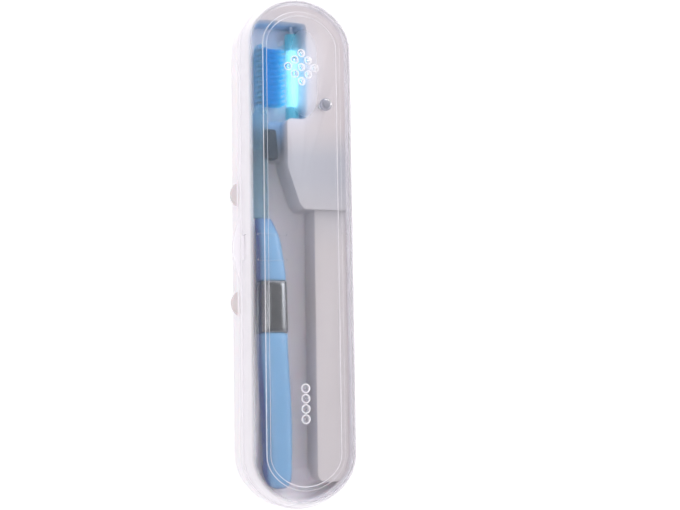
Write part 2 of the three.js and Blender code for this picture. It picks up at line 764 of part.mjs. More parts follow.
// What is hollow under the inner cover
function coverHollows() {
  const [left, right] = [cellX - cellRoom, cellX + cellRoom];
  const landCeiling = landTop - coverWall;
  const ledgeFoot = bayFoot - ledge.length + coverWall;
  const openBelow = caseLoft([{ inset: baseFillet, z: 0 }, { inset: baseFillet, z: baseFillet }]);
  const blockRoom = prism(rounded(shrink(blockCorners(), coverWall)), 'z', 0, blockTop - coverWall);
  return [
    blockRoom.intersect(join(innerRoom(gap + coverWall), openBelow)),
    slab(ledgeLeft + coverWall, ledgeFoot, blockLeft, bayFoot - coverWall, 0, ledge.top - coverWall),
    slab(left, cellBayFoot, right, partitionFoot, 0, landCeiling),
    slab(left, partitionHead, right, blockFoot + coverWall + gap, 0, landCeiling),
    slab(left, partitionFoot - gap, right, partitionHead + gap, 0, cellZ - contact.drop),
  ];
}

// Round holes in the inner cover for the plunger, the lamp's boot and the leads
function coverHoles() {
  const lead = wireRadius + gap;
  const [foot, end] = [partitionFoot - gap, partitionHead + gap];
  const plungerRoom = plunger.radius + gap;
  return [
    peg('z', buttonX, buttonY, plungerRoom, blockTop - overrun, blockTop + overrun),
    peg('y', lampX, brushHeight, boot.radius + gap, bayFoot - coverWall - gap, bayFoot + gap),
    peg('y', lampX, brushHeight, lead, bayHead - gap, bayHead + coverWall + gap, smallHoleSteps),
    peg('y', cellX, plusLeadZ, lead, foot, end, smallHoleSteps),
    peg('y', minusLeadX, minusLeadZ, lead, foot, end, smallHoleSteps),
  ];
}

// The moulding that hides the electronics and the cells
function innerCover() {
  const landShape = roundedBox(landLeft, landFoot, halfWidth, blockFoot + coverWall, footBlock);
  const outer = join(
    prism(rounded(blockCorners()), 'z', coverFoot, blockTop),
    ledgeSolid(),
    prism(landShape, 'z', coverFoot, landTop),
    slab(landLeft, blockFoot - footBlock, halfWidth, blockFoot + coverWall, coverFoot, landTop),
  ).intersect(innerRoom(gap));
  const posts = screwSpots.slice(0, -1).map(({ x, y }) => peg(
    'z', x, y, postRadius, bossTop + gap, blockTop - coverWall / 2,
  ));
  const shell = join(cut(outer, ...coverHollows()), ...posts);
  const screwTip = screw.sunk + screw.headHeight + screw.length + gap;
  const pilots = screwSpots.flatMap(({ x, y }) => [
    peg('z', x, y, boss.radius + gap, 0, bossTop + gap),
    peg('z', x, y, screw.shankRadius + gap, 0, screwTip, smallHoleSteps),
  ]);
  return cut(shell, ...pilots, ...coverHoles());
}

// The battery door is the piece of the base's own wall that closes the doorway
function batteryDoor() {
  const wall = cut(baseBody(), innerRoom(0));
  const leaf = prism(doorwayShape(gap), 'z', -overrun, rimHeight - baseWall).intersect(wall);
  const headEdge = doorwayHead - gap;
  const footEdge = cellBayFoot + gap;
  const tongueFoot = headEdge - doorTongue.root;
  const tongues = [-1, 1].flatMap((side) => {
    const x = cellX + side * (cell.radius - doorTongue.inset);
    const [left, right] = [x - doorTongue.width / 2, x + doorTongue.width / 2];
    const low = baseWall + gap;
    return [
      slab(left, tongueFoot, right, doorwayHead + doorTongue.reach, low, low + doorTongue.thick),
      slab(left, tongueFoot, right, headEdge, baseWall / 2, low + doorTongue.thick / 2),
    ];
  });
  const ridgeHalf = cell.radius - doorRidge.inset;
  const ridgeHead = footEdge + doorRidge.length;
  const ridgeTop = baseWall + doorRidge.rise;
  const ridge = slab(cellX - ridgeHalf, footEdge, cellX + ridgeHalf, ridgeHead, baseWall / 2, ridgeTop);
  const gripHalf = cell.radius - doorGrip.inset;
  const grips = Array.from({ length: doorGripCount }, (_, i) => {
    const y = footEdge + doorGrip.fromEnd + i * doorGrip.pitch;
    const [left, right] = [cellX - gripHalf, cellX + gripHalf];
    return peg('x', y, -doorGrip.sunk, doorGrip.radius, left, right, smallHoleSteps);
  });
  return cut(join(leaf, ...tongues, ridge), ...grips);
}

// One cell standing on its flat end along Y, from the origin
function cellSolid() {
  const jacket = drumPoints(cell.radius, 0, cell.length, cell.edge, cell.edge).slice(0, -1);
  const nub = [[cell.nubRadius, cell.length], [cell.nubRadius, cellWhole], [0, cellWhole]];
  return turnedAlongY([...jacket, ...nub], 0, 0);
}

function contactPlate() {
  const half = cell.radius - contact.side;
  const low = cellZ - contact.drop;
  const high = minusLeadZ - wireRadius - gap;
  const shape = roundedBox(cellX - half, low, cellX + half, high, contact.thick);
  return prism(shape, 'y', platePlace, platePlace + contact.thick, easeSteps);
}

// A tapering coil that rises from its plate towards the cell
class Coil extends THREE.Curve {
  getPoint(t, target = new THREE.Vector3()) {
    const angle = 2 * Math.PI * spring.turns * t;
    const radius = THREE.MathUtils.lerp(cell.radius - spring.footInset, spring.tipRadius, t);
    const top = contact.thick + spring.length - spring.wire;
    const rise = THREE.MathUtils.lerp(contact.thick / 2, top, t);
    return target.set(radius * Math.cos(angle), rise, radius * Math.sin(angle));
  }
}

// The least distance between the coil's turns, from surface to surface
function leastCoilGap(coil, steps) {
  const points = coil.getPoints(steps);
  const apart = springSteps.perTurn / 2;
  const distances = points.flatMap((from, i) => points.slice(i + apart).map((to) => from.distanceTo(to)));
  return Math.min(...distances) - 2 * spring.wire;
}

function batterySpring() {
  const coil = new Coil();
  const steps = Math.round(spring.turns * springSteps.perTurn);
  console.log(`battery spring: least gap between turns ${leastCoilGap(coil, steps).toFixed(2)} mm`);
  const plateRadius = cell.radius - spring.footInset + spring.wire;
  const plate = peg('y', 0, 0, plateRadius, 0, contact.thick, drumSteps);
  const [tabLeft, tabTop] = [minusLeadX - wireRadius - cellX, minusLeadZ + wireRadius - cellZ];
  const tab = rectangle(tabLeft, -contact.thick, 0, tabTop);
  const wire = tubeAlong(coil, spring.wire, steps, springSteps.sides);
  return join(plate, prism(tab, 'y', 0, contact.thick), wire).translate([cellX, springPlateFoot, cellZ]);
}

function route(points) {
  const places = points.map(([x, y, z]) => new THREE.Vector3(x, y, z));
  return new THREE.CatmullRomCurve3(places, false, 'catmullrom', 0.5);
}

// Each lead from one end to the other
function lampFootRoute() {
  const start = lampFoot - boot.bottom - gap;
  const high = brushHeight + wireRadius * 2;
  const end = coreLeft - wireRadius - gap;
  return route([
    [lampX, start, brushHeight],
    [lampX + wireRadius, start - boot.lip * 3, brushHeight],
    [(lampX + coreLeft) / 2 + wireRadius, (start + coreY) / 2 + boot.radius, high],
    [end, coreY + core.thick, high],
    [end, coreY, high],
  ]);
}

function lampHeadRoute() {
  const high = brushHeight + wireRadius * 2;
  const [headX, headY] = [screwSpots[0].x, screwSpots[0].y];
  const beside = coreRight + gap + wireRadius;
  return route([
    [lampX, lampEnd + boot.bottom + gap, brushHeight],
    [lampX, bayHead + coverWall, brushHeight],
    [lampX + wireRadius, bayHead + coverWall * 2.5, brushHeight + wireRadius],
    [bayRight, bayHead + coverWall * 3.5, high],
    [(headX + bayRight) / 2, bayHead + coverWall * 2, high],
    [headX + postRadius, headY + postRadius * 2, high],
    [beside, headY, high],
    [beside, boardHead, high],
    [beside, (boardHead + coreY) / 2, high],
    [beside, coreY + core.thick, high],
    [beside, coreY, high],
  ]);
}

function batteryPlusRoute() {
  const beside = cellX - postRadius - gap * 2 - wireRadius;
  return route([
    [cellX, doorwayHead + gap, plusLeadZ],
    [cellX, partitionHead + wireRadius, plusLeadZ],
    [cellX - postRadius, blockFoot, plusLeadZ],
    [beside, screwSpots[2].y, plusLeadZ],
    [beside, boardFoot - wireRadius * 2, onBoard],
    [beside, boardFoot + wireRadius * 4, onBoard],
  ]);
}

function batteryMinusRoute() {
  const end = boardLeft + wireRadius * 2;
  return route([
    [minusLeadX, springPlateFoot + contact.thick + gap, minusLeadZ],
    [minusLeadX, rearCellFoot, minusLeadZ],
    [minusLeadX, (rearCellFoot + frontCellFoot) / 2, minusLeadZ],
    [minusLeadX, frontCellFoot, minusLeadZ],
    [minusLeadX, (frontCellFoot + platePlace) / 2, minusLeadZ],
    [minusLeadX, partitionFoot, minusLeadZ],
    [minusLeadX, partitionHead + wireRadius, minusLeadZ],
    [minusLeadX, blockFoot + coverWall * 2, minusLeadZ - wireRadius],
    [end, boardFoot - wireRadius * 2, onBoard],
    [end, boardFoot + wireRadius * 4, onBoard],
  ]);
}

function screwSolid() {
  const top = screw.headHeight;
  const tip = top + screw.length;
  return turned([
    [0, screwSocket.depth],
    [screwSocket.radius, 0],
    [screw.headRadius, 0],
    [screw.headRadius, top],
    [screw.shankRadius, top],
    [screw.shankRadius, tip - screw.shankRadius],
    [0, tip],
  ], 0, 0);
}

const lampTube = () => turnedAlongY(
  drumPoints(lamp.radius, lampFoot, lampEnd, lamp.dome, lamp.dome),
  lampX,
  brushHeight,
);

// A rubber boot on one end of the lamp, open towards the lamp; side is 1 at the head end
function lampBoot(side) {
  const end = side > 0 ? lampEnd : lampFoot;
  const bottom = end + side * boot.bottom;
  const mouth = bottom - side * (boot.bottom + boot.length);
  const hollow = lamp.radius + gap / 2;
  const profile = [
    [0, bottom],
    [boot.radius - boot.lip, bottom],
    [boot.radius, bottom - side * boot.lip],
    [boot.radius, mouth],
    [hollow, mouth],
    [hollow, end + side * gap],
    [0, end + side * gap],
  ];
  return turnedAlongY(side > 0 ? profile.reverse() : profile, lampX, brushHeight);
}

const circuitBoard = () => prism(polygon([
  [boardLeft, boardFoot],
  [boardRight, boardFoot],
  [boardRight, boardHead - board.notch],
  [boardRight - board.notch, boardHead],
  [boardLeft, boardHead],
]), 'z', board.under, boardTop);

// A ferrite core with a window each side of its middle limb
function transformerCore() {
  const limb = core.limb / 2;
  const sides = [[coreLeft + limb, coreX - limb], [coreX + limb, coreRight - limb]];
  const windows = sides.map(([left, right]) => {
    const opening = rectangle(left, partsFloor + limb, right, coreTop - limb);
    return prism(opening, 'y', coreY - core.thick, coreY + core.thick);
  });
  const body = rectangle(coreLeft, partsFloor, coreRight, coreTop);
  return cut(prism(body, 'y', coreY - core.thick / 2, coreY + core.thick / 2), ...windows);
}

function transformerWinding() {
  const low = partsFloor + core.limb / 2 + gap;
  const high = coreTop - core.limb / 2 - gap;
  const [innerX, innerY] = [core.limb / 2 + gap, core.thick / 2 + gap];
  const [outerX, outerY] = [innerX + windingThick, innerY + windingThick];
  const outer = roundedBox(coreX - outerX, coreY - outerY, coreX + outerX, coreY + outerY, windingThick);
  const hole = slab(coreX - innerX, coreY - innerY, coreX + innerX, coreY + innerY, low - gap, high + gap);
  return cut(prism(outer, 'z', low, high), hole);
}

function capacitorSolid() {
  const foot = boardFoot + capacitor.up;
  const { radius, length, edge } = capacitor;
  const points = drumPoints(radius, foot, foot + length, edge, edge);
  return turnedAlongY(points, boardRight - capacitor.inset, partsFloor + radius);
}

function chipSolid() {
  const [x, y] = [boardRight - chip.inset, buttonY + chip.up];
  const [halfX, halfY] = [chip.width / 2, chip.length / 2];
  const body = slab(x - halfX, y - halfY, x + halfX, y + halfY, partsFloor, partsFloor + chip.height);
  const low = partsFloor + chip.height / 2;
  return cut(body, peg('z', x, y + halfY, chip.mark, low, low + overrun, smallHoleSteps));
}

function switchBodySolid() {
  const half = switchBody.size / 2;
  const shape = roundedBox(buttonX - half, buttonY - half, buttonX + half, buttonY + half, gap);
  const body = prism(shape, 'z', partsFloor, partsFloor + switchBody.height, easeSteps);
  const wellFoot = partsFloor + switchBody.wellBottom;
  return cut(body, peg('z', buttonX, buttonY, plunger.radius + gap, wellFoot, blockTop));
}

const switchPlunger = () => turned([
  [0, plungerFoot],
  [plunger.radius, plungerFoot],
  [plunger.radius, plungerTop - gap],
  [plunger.radius - gap, plungerTop],
  [0, plungerTop],
], buttonX, buttonY);

function pushButton() {
  const { radius, brim, waist, flange, dome } = button;
  const foot = plungerTop + gap;
  const flangeTop = ceiling - gap;
  return turned([
    [0, foot],
    [radius - waist, foot],
    [radius - waist, flangeTop - flange],
    [radius + brim, flangeTop - flange],
    [radius + brim, flangeTop],
    [radius, flangeTop],
    [radius, lidTop - dome],
    [radius * dishShare, lidTop],
    [0, lidTop],
  ], buttonX, buttonY, drumSteps);
}

// A body along Y through stations { y, x, halfX, halfZ } with rounded-square sections
function brushBody(stations) {
  const ease = (value) => Math.sign(value) * Math.abs(value) ** (2 / sectionPower);
  const rings = stations.map(({ y, x, halfX, halfZ }) => Array.from({ length: brushSides }, (_, i) => {
    const angle = (2 * Math.PI * i) / brushSides;
    const [across, up] = [halfX * ease(Math.sin(angle)), halfZ * ease(Math.cos(angle))];
    return new THREE.Vector3(x + across, y, brushHeight + up);
  }));
  const middle = ({ y, x }) => new THREE.Vector3(x, y, brushHeight);
  return solidFrom(skin(rings, middle(stations[0]), middle(stations[stations.length - 1])));
}

// The handle's section at a place along it, thinner all round by a depth
function handleAt(y, depth = 0) {
  const { lerp, clamp } = THREE.MathUtils;
  const share = clamp((y - handleFoot) / (handleHead - handleFoot), 0, 1);
  const after = Math.max(1, handleShares.findIndex(({ along }) => along >= share));
  const [low, high] = [handleShares[after - 1], handleShares[after]];
  const part = (share - low.along) / (high.along - low.along);
  return {
    y,
    x: lerp(fromLeft(handle.tipInset), fromLeft(handle.neckInset), lerp(low.aside, high.aside, part)),
    halfX: handle.halfWidth * lerp(low.across, high.across, part) - depth,
    halfZ: handle.halfDepth * lerp(low.deep, high.deep, part) - depth,
  };
}

// The handle, with a waist where the metal band sits
function brushHandle() {
  const length = handleHead - handleFoot;
  const stations = handleShares.map(({ along }) => handleAt(handleFoot + length * along));
  return brushBody([
    ...stations.filter(({ y }) => y < bandFoot),
    handleAt(bandFoot),
    handleAt(bandFoot, band.thick),
    handleAt(bandHead, band.thick),
    handleAt(bandHead),
    ...stations.filter(({ y }) => y > bandHead),
  ]);
}

function brushBand() {
  const depth = band.thick - gap;
  const outer = brushBody([handleAt(bandFoot + gap), handleAt(bandHead - gap)]);
  const bore = brushBody([
    { ...handleAt(bandFoot, depth), y: bandFoot - overrun },
    handleAt(bandFoot, depth),
    handleAt(bandHead, depth),
    { ...handleAt(bandHead, depth), y: bandHead + overrun },
  ]);
  return cut(outer, bore);
}

// The clear neck and the plate that carries the bristles
function brushNeck() {
  const plate = { x: padBack - gap - headThick / 2, halfX: headThick / 2, halfZ: head.halfWidth };
  const stem = { x: neckX, halfX: neck.radius, halfZ: neck.radius };
  const between = (key) => (plate[key] + stem[key]) / 2;
  const end = neck.radius - neck.bevel;
  return brushBody([
    { y: neckFoot, x: neckX, halfX: end, halfZ: end },
    { y: neckFoot + neck.bevel, ...stem },
    { y: headFoot - head.taper, ...stem },
    { y: headFoot - head.taper / 2, x: between('x'), halfX: between('halfX'), halfZ: between('halfZ') },
    { y: headFoot, ...plate },
    ...headTipShares.map(({ along, across }) => ({
      ...plate, y: headTip - head.round * along, halfZ: head.halfWidth * across,
    })),
  ]);
}

// The faces of one strand from the pad to its tip, in the three corners of each triangle
function strandFaces(y, z, tip) {
  const ring = (x, radius) => arcPoints(y, z, radius, 0, 2 * Math.PI, strandSides)
    .map((point) => [x, point.x, point.y]);
  const root = ring(padFront - strand.root, strand.radius);
  const end = ring(tip, strand.tipRadius);
  const sides = root.flatMap((_, i) => {
    const next = (i + 1) % strandSides;
    return [root[i], root[next], end[next], root[i], end[next], end[i]];
  });
  return [...sides, root[0], root[2], root[1], end[0], end[1], end[2]];
}

// Places along a line, a pitch apart and centred on its middle
const evenPlaces = (count, pitch) => Array.from({ length: count }, (_, i) => (i - (count - 1) / 2) * pitch);

// Strands stand in tufts on the pad and point across the case to the lamp
function bristleField() {
  const [low, high] = [brushHeight - pad.halfWidth, brushHeight + pad.halfWidth];
  const padSolid = prism(roundedBox(padFoot, low, padHead, high, pad.corner), 'x', padBack, padFront);
  const rows = Math.round((padHead - padFoot - 2 * tuft.rowEdge) / tuft.rowPitch) + 1;
  const columns = Math.round((2 * (pad.halfWidth - tuft.columnEdge)) / tuft.columnPitch) + 1;
  const inTuft = evenPlaces(strandsAcross, tuft.strandPitch);
  const middle = (padFoot + padHead) / 2;
  const faces = [];
  evenPlaces(rows, tuft.rowPitch).forEach((rowY, row) => {
    const wave = (strand.waveDepth * (1 - Math.cos((2 * Math.PI * row) / strandWaveRows))) / 2;
    const tip = padFront + strand.length - wave;
    evenPlaces(columns, tuft.columnPitch).forEach((columnZ) => {
      inTuft.forEach((y) => inTuft.forEach((z) => {
        faces.push(...strandFaces(middle + rowY + y, brushHeight + columnZ + z, tip));
      }));
    });
  });
  const geometry = new THREE.BufferGeometry();
  geometry.setAttribute('position', new THREE.Float32BufferAttribute(faces.flat(), 3));
  return join(padSolid, solidFrom(geometry));
}

// The jaw on the ledge that reaches over the brush's neck
function neckClip() {
  const left = neckX + clip.inset;
  const clipHead = bayFoot - clip.fromBay;
  const clipFoot = clipHead - clip.length;
  const shape = rounded([
    { x: left, y: clipFoot, round: clip.corner / 2 },
    { x: left + clipWidth.foot, y: clipFoot, round: clip.corner },
    { x: left + clipWidth.head, y: clipHead, round: clip.corner },
    { x: left, y: clipHead, round: clip.corner / 2 },
  ]);
  const body = prism(shape, 'z', ledge.top + gap, brushHeight + clip.rise);
  const neckRoom = peg(
    'y', neckX, brushHeight, neck.radius + gap, clipFoot - overrun, clipHead + overrun, drumSteps,
  );
  return cut(body, neckRoom);
}

// Colours and surfaces
const finish = (color, roughness, metalness = 0, opacity = 1) => new THREE.MeshStandardMaterial({
  color, roughness, metalness, opacity, transparent: opacity < 1,
});
const white = () => finish(0xe9e6ec, 0.35);
const steel = () => finish(0xb0b4b9, 0.28, 1);
const nickel = () => finish(0xc9c7bd, 0.3, 1);
const rubber = () => finish(0x2c7f95, 0.6);

function piece(name, solid, material) {
  const mesh = new THREE.Mesh(geometryFrom(solid), material);
  mesh.name = name;
  return mesh;
}

const lead = (name, curve, steps, color) => piece(
  name, tubeAlong(curve, wireRadius, steps, wireSides), finish(color, 0.5),
);

function housing() {
  const group = new THREE.Group();
  group.add(
    piece('base_shell', baseShell(), white()),
    piece('inner_cover', innerCover(), finish(0xd0cacb, 0.5)),
    piece('hinge_pin', hingePin(), steel()),
    piece('neck_clip', neckClip(), finish(0x455560, 0.55)),
    piece('battery_door', batteryDoor(), white()),
  );
  screwSpots.forEach(({ name, x, y }) => {
    const mesh = piece(name, screwSolid(), steel());
    mesh.position.set(x, y, screw.sunk);
    group.add(mesh);
  });
  return group;
}

function power() {
  const group = new THREE.Group();
  const cells = [
    { name: 'battery_cell_rear', foot: rearCellFoot },
    { name: 'battery_cell_front', foot: frontCellFoot },
  ];
  cells.forEach(({ name, foot }) => {
    const mesh = piece(name, cellSolid(), finish(0x8f9aa6, 0.35, 0.6));
    mesh.position.set(cellX, foot, cellZ);
    group.add(mesh);
  });
  group.add(
    piece('battery_spring', batterySpring(), nickel()),
    piece('battery_plate', contactPlate(), nickel()),
    lead('battery_lead_plus', batteryPlusRoute(), leadSteps, 0xc23b32),
    lead('battery_lead_minus', batteryMinusRoute(), longLeadSteps, 0x26282c),
  );
  return group;
}

function electronics() {
  const group = new THREE.Group();
  group.add(
    piece('circuit_board', circuitBoard(), finish(0x2f6b4a, 0.5)),
    piece('transformer_core', transformerCore(), finish(0x3b3c40, 0.7)),
    piece('transformer_winding', transformerWinding(), finish(0xb06a35, 0.4, 0.5)),
    piece('capacitor', capacitorSolid(), finish(0x2c4fa0, 0.4)),
    piece('timer_chip', chipSolid(), finish(0x222326, 0.5)),
    piece('switch_body', switchBodySolid(), finish(0x303236, 0.5)),
    piece('switch_plunger', switchPlunger(), finish(0xf0f0ee, 0.4)),
  );
  return group;
}

function lampSet() {
  const group = new THREE.Group();
  group.add(
    piece('uv_lamp', lampTube(), finish(0xa6f7ff, 0.1, 0, 0.8)),
    piece('lamp_boot_head', lampBoot(1), rubber()),
    piece('lamp_boot_foot', lampBoot(-1), rubber()),
    lead('lamp_lead_foot', lampFootRoute(), leadSteps, 0xdfe3ea),
    lead('lamp_lead_head', lampHeadRoute(), longLeadSteps, 0xdfe3ea),
  );
  return group;
}

function toothbrush() {
  const group = new THREE.Group();
  group.add(
    piece('brush_handle', brushHandle(), finish(0x7aa3c6, 0.4)),
    piece('brush_band', brushBand(), finish(0x9aa1a8, 0.25, 1)),
    piece('brush_neck', brushNeck(), finish(0x647a89, 0.2, 0, 0.85)),
    piece('bristles', bristleField(), finish(0x0f7fd6, 0.5)),
  );
  return group;
}

function lid() {
  const group = new THREE.Group();
  group.add(
    piece('lid_shell', lidShell(), finish(0xe4e2e8, 0.3, 0, 0.45)),
    piece('push_button', pushButton(), finish(0xd9dce2, 0.25, 0, 0.8)),
  );
  return group;
}

const uvCase = new THREE.Group();
uvCase.name = 'uv_toothbrush_case';
uvCase.add(housing(), power(), electronics(), lampSet(), toothbrush(), lid());

export default uvCase;
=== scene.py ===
"""Looks of a travel case that holds one toothbrush and lights its bristles with a small ultraviolet lamp.

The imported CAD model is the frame. Every piece here is in metres in that frame: +Z points out of the lid,
+Y towards the brush head and +X towards the hinge.
"""

from __future__ import annotations

import json
import logging
import math
from dataclasses import dataclass
from enum import Enum
from typing import Any, Callable, Sequence, Union

import bmesh
import bpy
from mathutils import Euler, Matrix, Vector

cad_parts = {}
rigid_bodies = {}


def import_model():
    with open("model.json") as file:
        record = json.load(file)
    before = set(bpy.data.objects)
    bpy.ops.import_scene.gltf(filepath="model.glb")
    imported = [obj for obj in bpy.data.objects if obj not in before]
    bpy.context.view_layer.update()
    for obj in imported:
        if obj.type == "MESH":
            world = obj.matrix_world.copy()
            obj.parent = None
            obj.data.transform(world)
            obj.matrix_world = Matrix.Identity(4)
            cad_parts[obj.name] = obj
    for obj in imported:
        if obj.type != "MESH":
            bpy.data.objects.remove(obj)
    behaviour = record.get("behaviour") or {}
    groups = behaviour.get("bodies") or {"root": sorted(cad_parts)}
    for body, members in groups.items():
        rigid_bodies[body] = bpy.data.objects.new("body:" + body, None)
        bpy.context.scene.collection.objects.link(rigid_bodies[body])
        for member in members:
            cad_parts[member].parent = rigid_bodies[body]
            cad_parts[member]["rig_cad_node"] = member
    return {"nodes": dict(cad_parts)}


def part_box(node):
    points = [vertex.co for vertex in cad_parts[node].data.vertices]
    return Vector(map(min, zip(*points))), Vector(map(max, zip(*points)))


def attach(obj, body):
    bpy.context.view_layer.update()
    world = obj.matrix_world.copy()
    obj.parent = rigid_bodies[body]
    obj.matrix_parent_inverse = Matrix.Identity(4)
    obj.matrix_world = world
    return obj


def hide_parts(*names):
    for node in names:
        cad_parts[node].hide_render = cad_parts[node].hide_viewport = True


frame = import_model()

log = logging.getLogger("uv_case")

MM = 0.001
MERGE_REACH = 0.002 * MM
FLAT_ANGLE = 0.4
SMOOTH_ANGLE = 34.0
WIRE_ANGLE = 50.0
WIRE_SIDES = 14
LEAD_RADIUS = 0.6 * MM
GOLDEN_TURN = 2.39996
Number = Union[int, float, "Value"]
Colour = tuple[float, float, float, float]
Point = tuple[float, float]
Ring = list[Vector]
UNLIT = (0.0, 0.0, 0.0, 1.0)


class Axis(Enum):
    """An axis of the frame, by its number in a vector."""

    X = 0
    Y = 1
    Z = 2

    def point(self, first: float, second: float, level: float) -> Vector:
        """A point from its level on the axis and its places on the other two axes."""
        places = [first, second]
        places.insert(self.value, level)
        return Vector(places)


class Carving(Enum):
    """What becomes of the pieces that a piece is carved with."""

    JOIN = "UNION"
    CUT = "DIFFERENCE"


def srgb(red: int, green: int, blue: int) -> Colour:
    """A colour written as screen values, as the linear values that a shader takes.

    Args:
        red: Its red, from 0 to 255.
        green: Its green.
        blue: Its blue.

    Returns:
        The linear colour, opaque.
    """

    def linear(value: int) -> float:
        """One channel from screen to linear."""
        share = value / 255
        return share / 12.92 if share <= 0.04045 else ((share + 0.055) / 1.055) ** 2.4

    return (linear(red), linear(green), linear(blue), 1.0)


def darker(colour: Colour, shade: float) -> Colour:
    """A colour darkened by a share."""
    return tuple(channel * (1 - shade) for channel in colour[:3]) + (1.0,)


# Node trees


def reckoned(operation: str, reflected: bool = False) -> Callable[["Value", Number], "Value"]:
    """A method that adds one Math node.

    Args:
        operation: The node's operation.
        reflected: True puts the other number first.

    Returns:
        The method.
    """

    def method(value: "Value", other: Number) -> "Value":
        """The result of the operation on two numbers."""
        first, second = (other, value) if reflected else (value, other)
        return value.reckon(operation, first, second)

    return method


class Value:
    """A number socket of a node tree, reckoned with like a number."""

    def __init__(self, tree: "Tree", socket: bpy.types.NodeSocket) -> None:
        """Keeps the tree and the socket that the number comes from."""
        self.tree = tree
        self.socket = socket

    __add__, __radd__ = reckoned("ADD"), reckoned("ADD", reflected=True)
    __sub__, __rsub__ = reckoned("SUBTRACT"), reckoned("SUBTRACT", reflected=True)
    __mul__, __rmul__ = reckoned("MULTIPLY"), reckoned("MULTIPLY", reflected=True)
    __truediv__, __pow__ = reckoned("DIVIDE"), reckoned("POWER")

    def reckon(self, operation: str, first: Number, second: Number = 0.0, clamp: bool = False) -> "Value":
        """The result of one Math node."""
        settings = {"operation": operation, "use_clamp": clamp}
        return Value(self.tree, self.tree.add("ShaderNodeMath", settings, {0: first, 1: second}).outputs[0])

    def clamped(self) -> "Value":
        """The number kept from 0 to 1."""
        return self.reckon("ADD", self, clamp=True)

    def sine(self) -> "Value":
        """Its sine."""
        return self.reckon("SINE", self)

    def cosine(self) -> "Value":
        """Its cosine."""
        return self.reckon("COSINE", self)

    def above(self, edge: float, width: float) -> "Value":
        """A mask that rises from 0 to 1 over a width after an edge."""
        return ((self - edge) / width).clamped()


class Tree:
    """A node tree that is built one node at a time."""

    def __init__(self, nodes: bpy.types.NodeTree) -> None:
        """Keeps the tree."""
        self.nodes = nodes

    def add(
        self, kind: str, settings: dict[str, Any] | None = None, inputs: dict[Any, Any] | None = None,
    ) -> bpy.types.Node:
        """Adds a node.

        Args:
            kind: The node's type.
            settings: What is set on the node first.
            inputs: Values or links of its sockets, by name or number.

        Returns:
            The new node.
        """
        node = self.nodes.nodes.new(kind)
        for name, value in (settings or {}).items():
            setattr(node, name, value)
        self.fill(node, inputs or {})
        return node

    def fill(self, node: bpy.types.Node, inputs: dict[Any, Any]) -> None:
        """Sets or links a node's sockets, given by name or number."""
        for name, value in inputs.items():
            self.feed(node.inputs[name], value)

    def feed(self, socket: bpy.types.NodeSocket, value: Any) -> None:
        """Links a socket to a Value or an output, or sets it to a plain value.

        Args:
            socket: The socket.
            value: What it gets.
        """
        if isinstance(value, Value):
            value = value.socket
        if isinstance(value, bpy.types.NodeSocket):
            self.nodes.links.new(value, socket)
        else:
            socket.default_value = value

    def place(self) -> bpy.types.NodeSocket:
        """The point on the piece, in metres."""
        return self.add("ShaderNodeTexCoord").outputs["Object"]

    def split(self, vector: bpy.types.NodeSocket) -> tuple[Value, Value, Value]:
        """A vector's x, y and z."""
        parts = self.add("ShaderNodeSeparateXYZ", inputs={0: vector})
        return tuple(Value(self, part) for part in parts.outputs)

    def axes(self) -> tuple[Value, Value, Value]:
        """The point's x, y and z in metres."""
        return self.split(self.place())

    def noise(self, size: float, detail: float = 3.0, stretch: Sequence[float] | None = None) -> Value:
        """Noise from 0 to 1.

        Args:
            size: About how large its grains are, in metres.
            detail: How many finer layers it has.
            stretch: Scales of the three axes; a small one draws the grains out.

        Returns:
            The noise.
        """
        where = self.place()
        if stretch is not None:
            inputs = {"Vector": where, "Scale": Vector(stretch)}
            where = self.add("ShaderNodeMapping", inputs=inputs).outputs[0]
        inputs = {"Vector": where, "Scale": 1.0 / size, "Detail": detail, "Roughness": 0.55}
        return Value(self, self.add("ShaderNodeTexNoise", inputs=inputs).outputs["Fac"])

    def faded(self, fades: Sequence["Fade"], colour: Any) -> Any:
        """A colour with each fade's painted colour before the place where the fade ends.

        Args:
            fades: The fades, the last one on top.
            colour: The colour where no fade reaches.

        Returns:
            The colour that they make together.
        """
        for fade in fades:
            share = self.axes()[fade.axis.value].above(fade.start, fade.width)
            colour = self.mix(share, fade.before, colour)
        return colour

    def mix(self, share: Number, first: Any, second: Any) -> bpy.types.NodeSocket:
        """A colour between two colours."""
        return self.add("ShaderNodeMix", {"data_type": "RGBA"}, {0: share, 6: first, 7: second}).outputs[2]

    def bump(self, height: Value, depth: float) -> bpy.types.NodeSocket:
        """A normal from a height that spans a depth in metres."""
        inputs = {"Height": height, "Distance": depth, "Strength": 1.0}
        return self.add("ShaderNodeBump", inputs=inputs).outputs[0]

    def seen(self) -> Value:
        """1 on rays from the camera, from gloss and through clear plastic, 0 on all others."""
        rays = self.add("ShaderNodeLightPath").outputs
        camera, gloss, clear = (
            Value(self, rays[f"Is {kind} Ray"]) for kind in ("Camera", "Glossy", "Transmission")
        )
        return (camera + gloss + clear).clamped()

    def surface(self, shader: bpy.types.NodeSocket) -> None:
        """Ends a material in a shader."""
        self.feed(self.nodes.nodes["Material Output"].inputs["Surface"], shader)

    def lamps_pass(self, shader: bpy.types.NodeSocket, passed: Colour = (1.0, 1.0, 1.0, 1.0)) -> None:
        """Ends a material in a shader that is clear for the rays of lamps.

        Args:
            shader: What all other rays see.
            passed: The colour that the lamps' light takes on its way through.
        """
        clear = self.add("ShaderNodeBsdfTransparent", inputs={"Color": passed})
        from_lamp = self.add("ShaderNodeLightPath").outputs["Is Shadow Ray"]
        both = self.add("ShaderNodeMixShader", inputs={0: from_lamp, 1: shader, 2: clear.outputs[0]})
        self.surface(both.outputs[0])


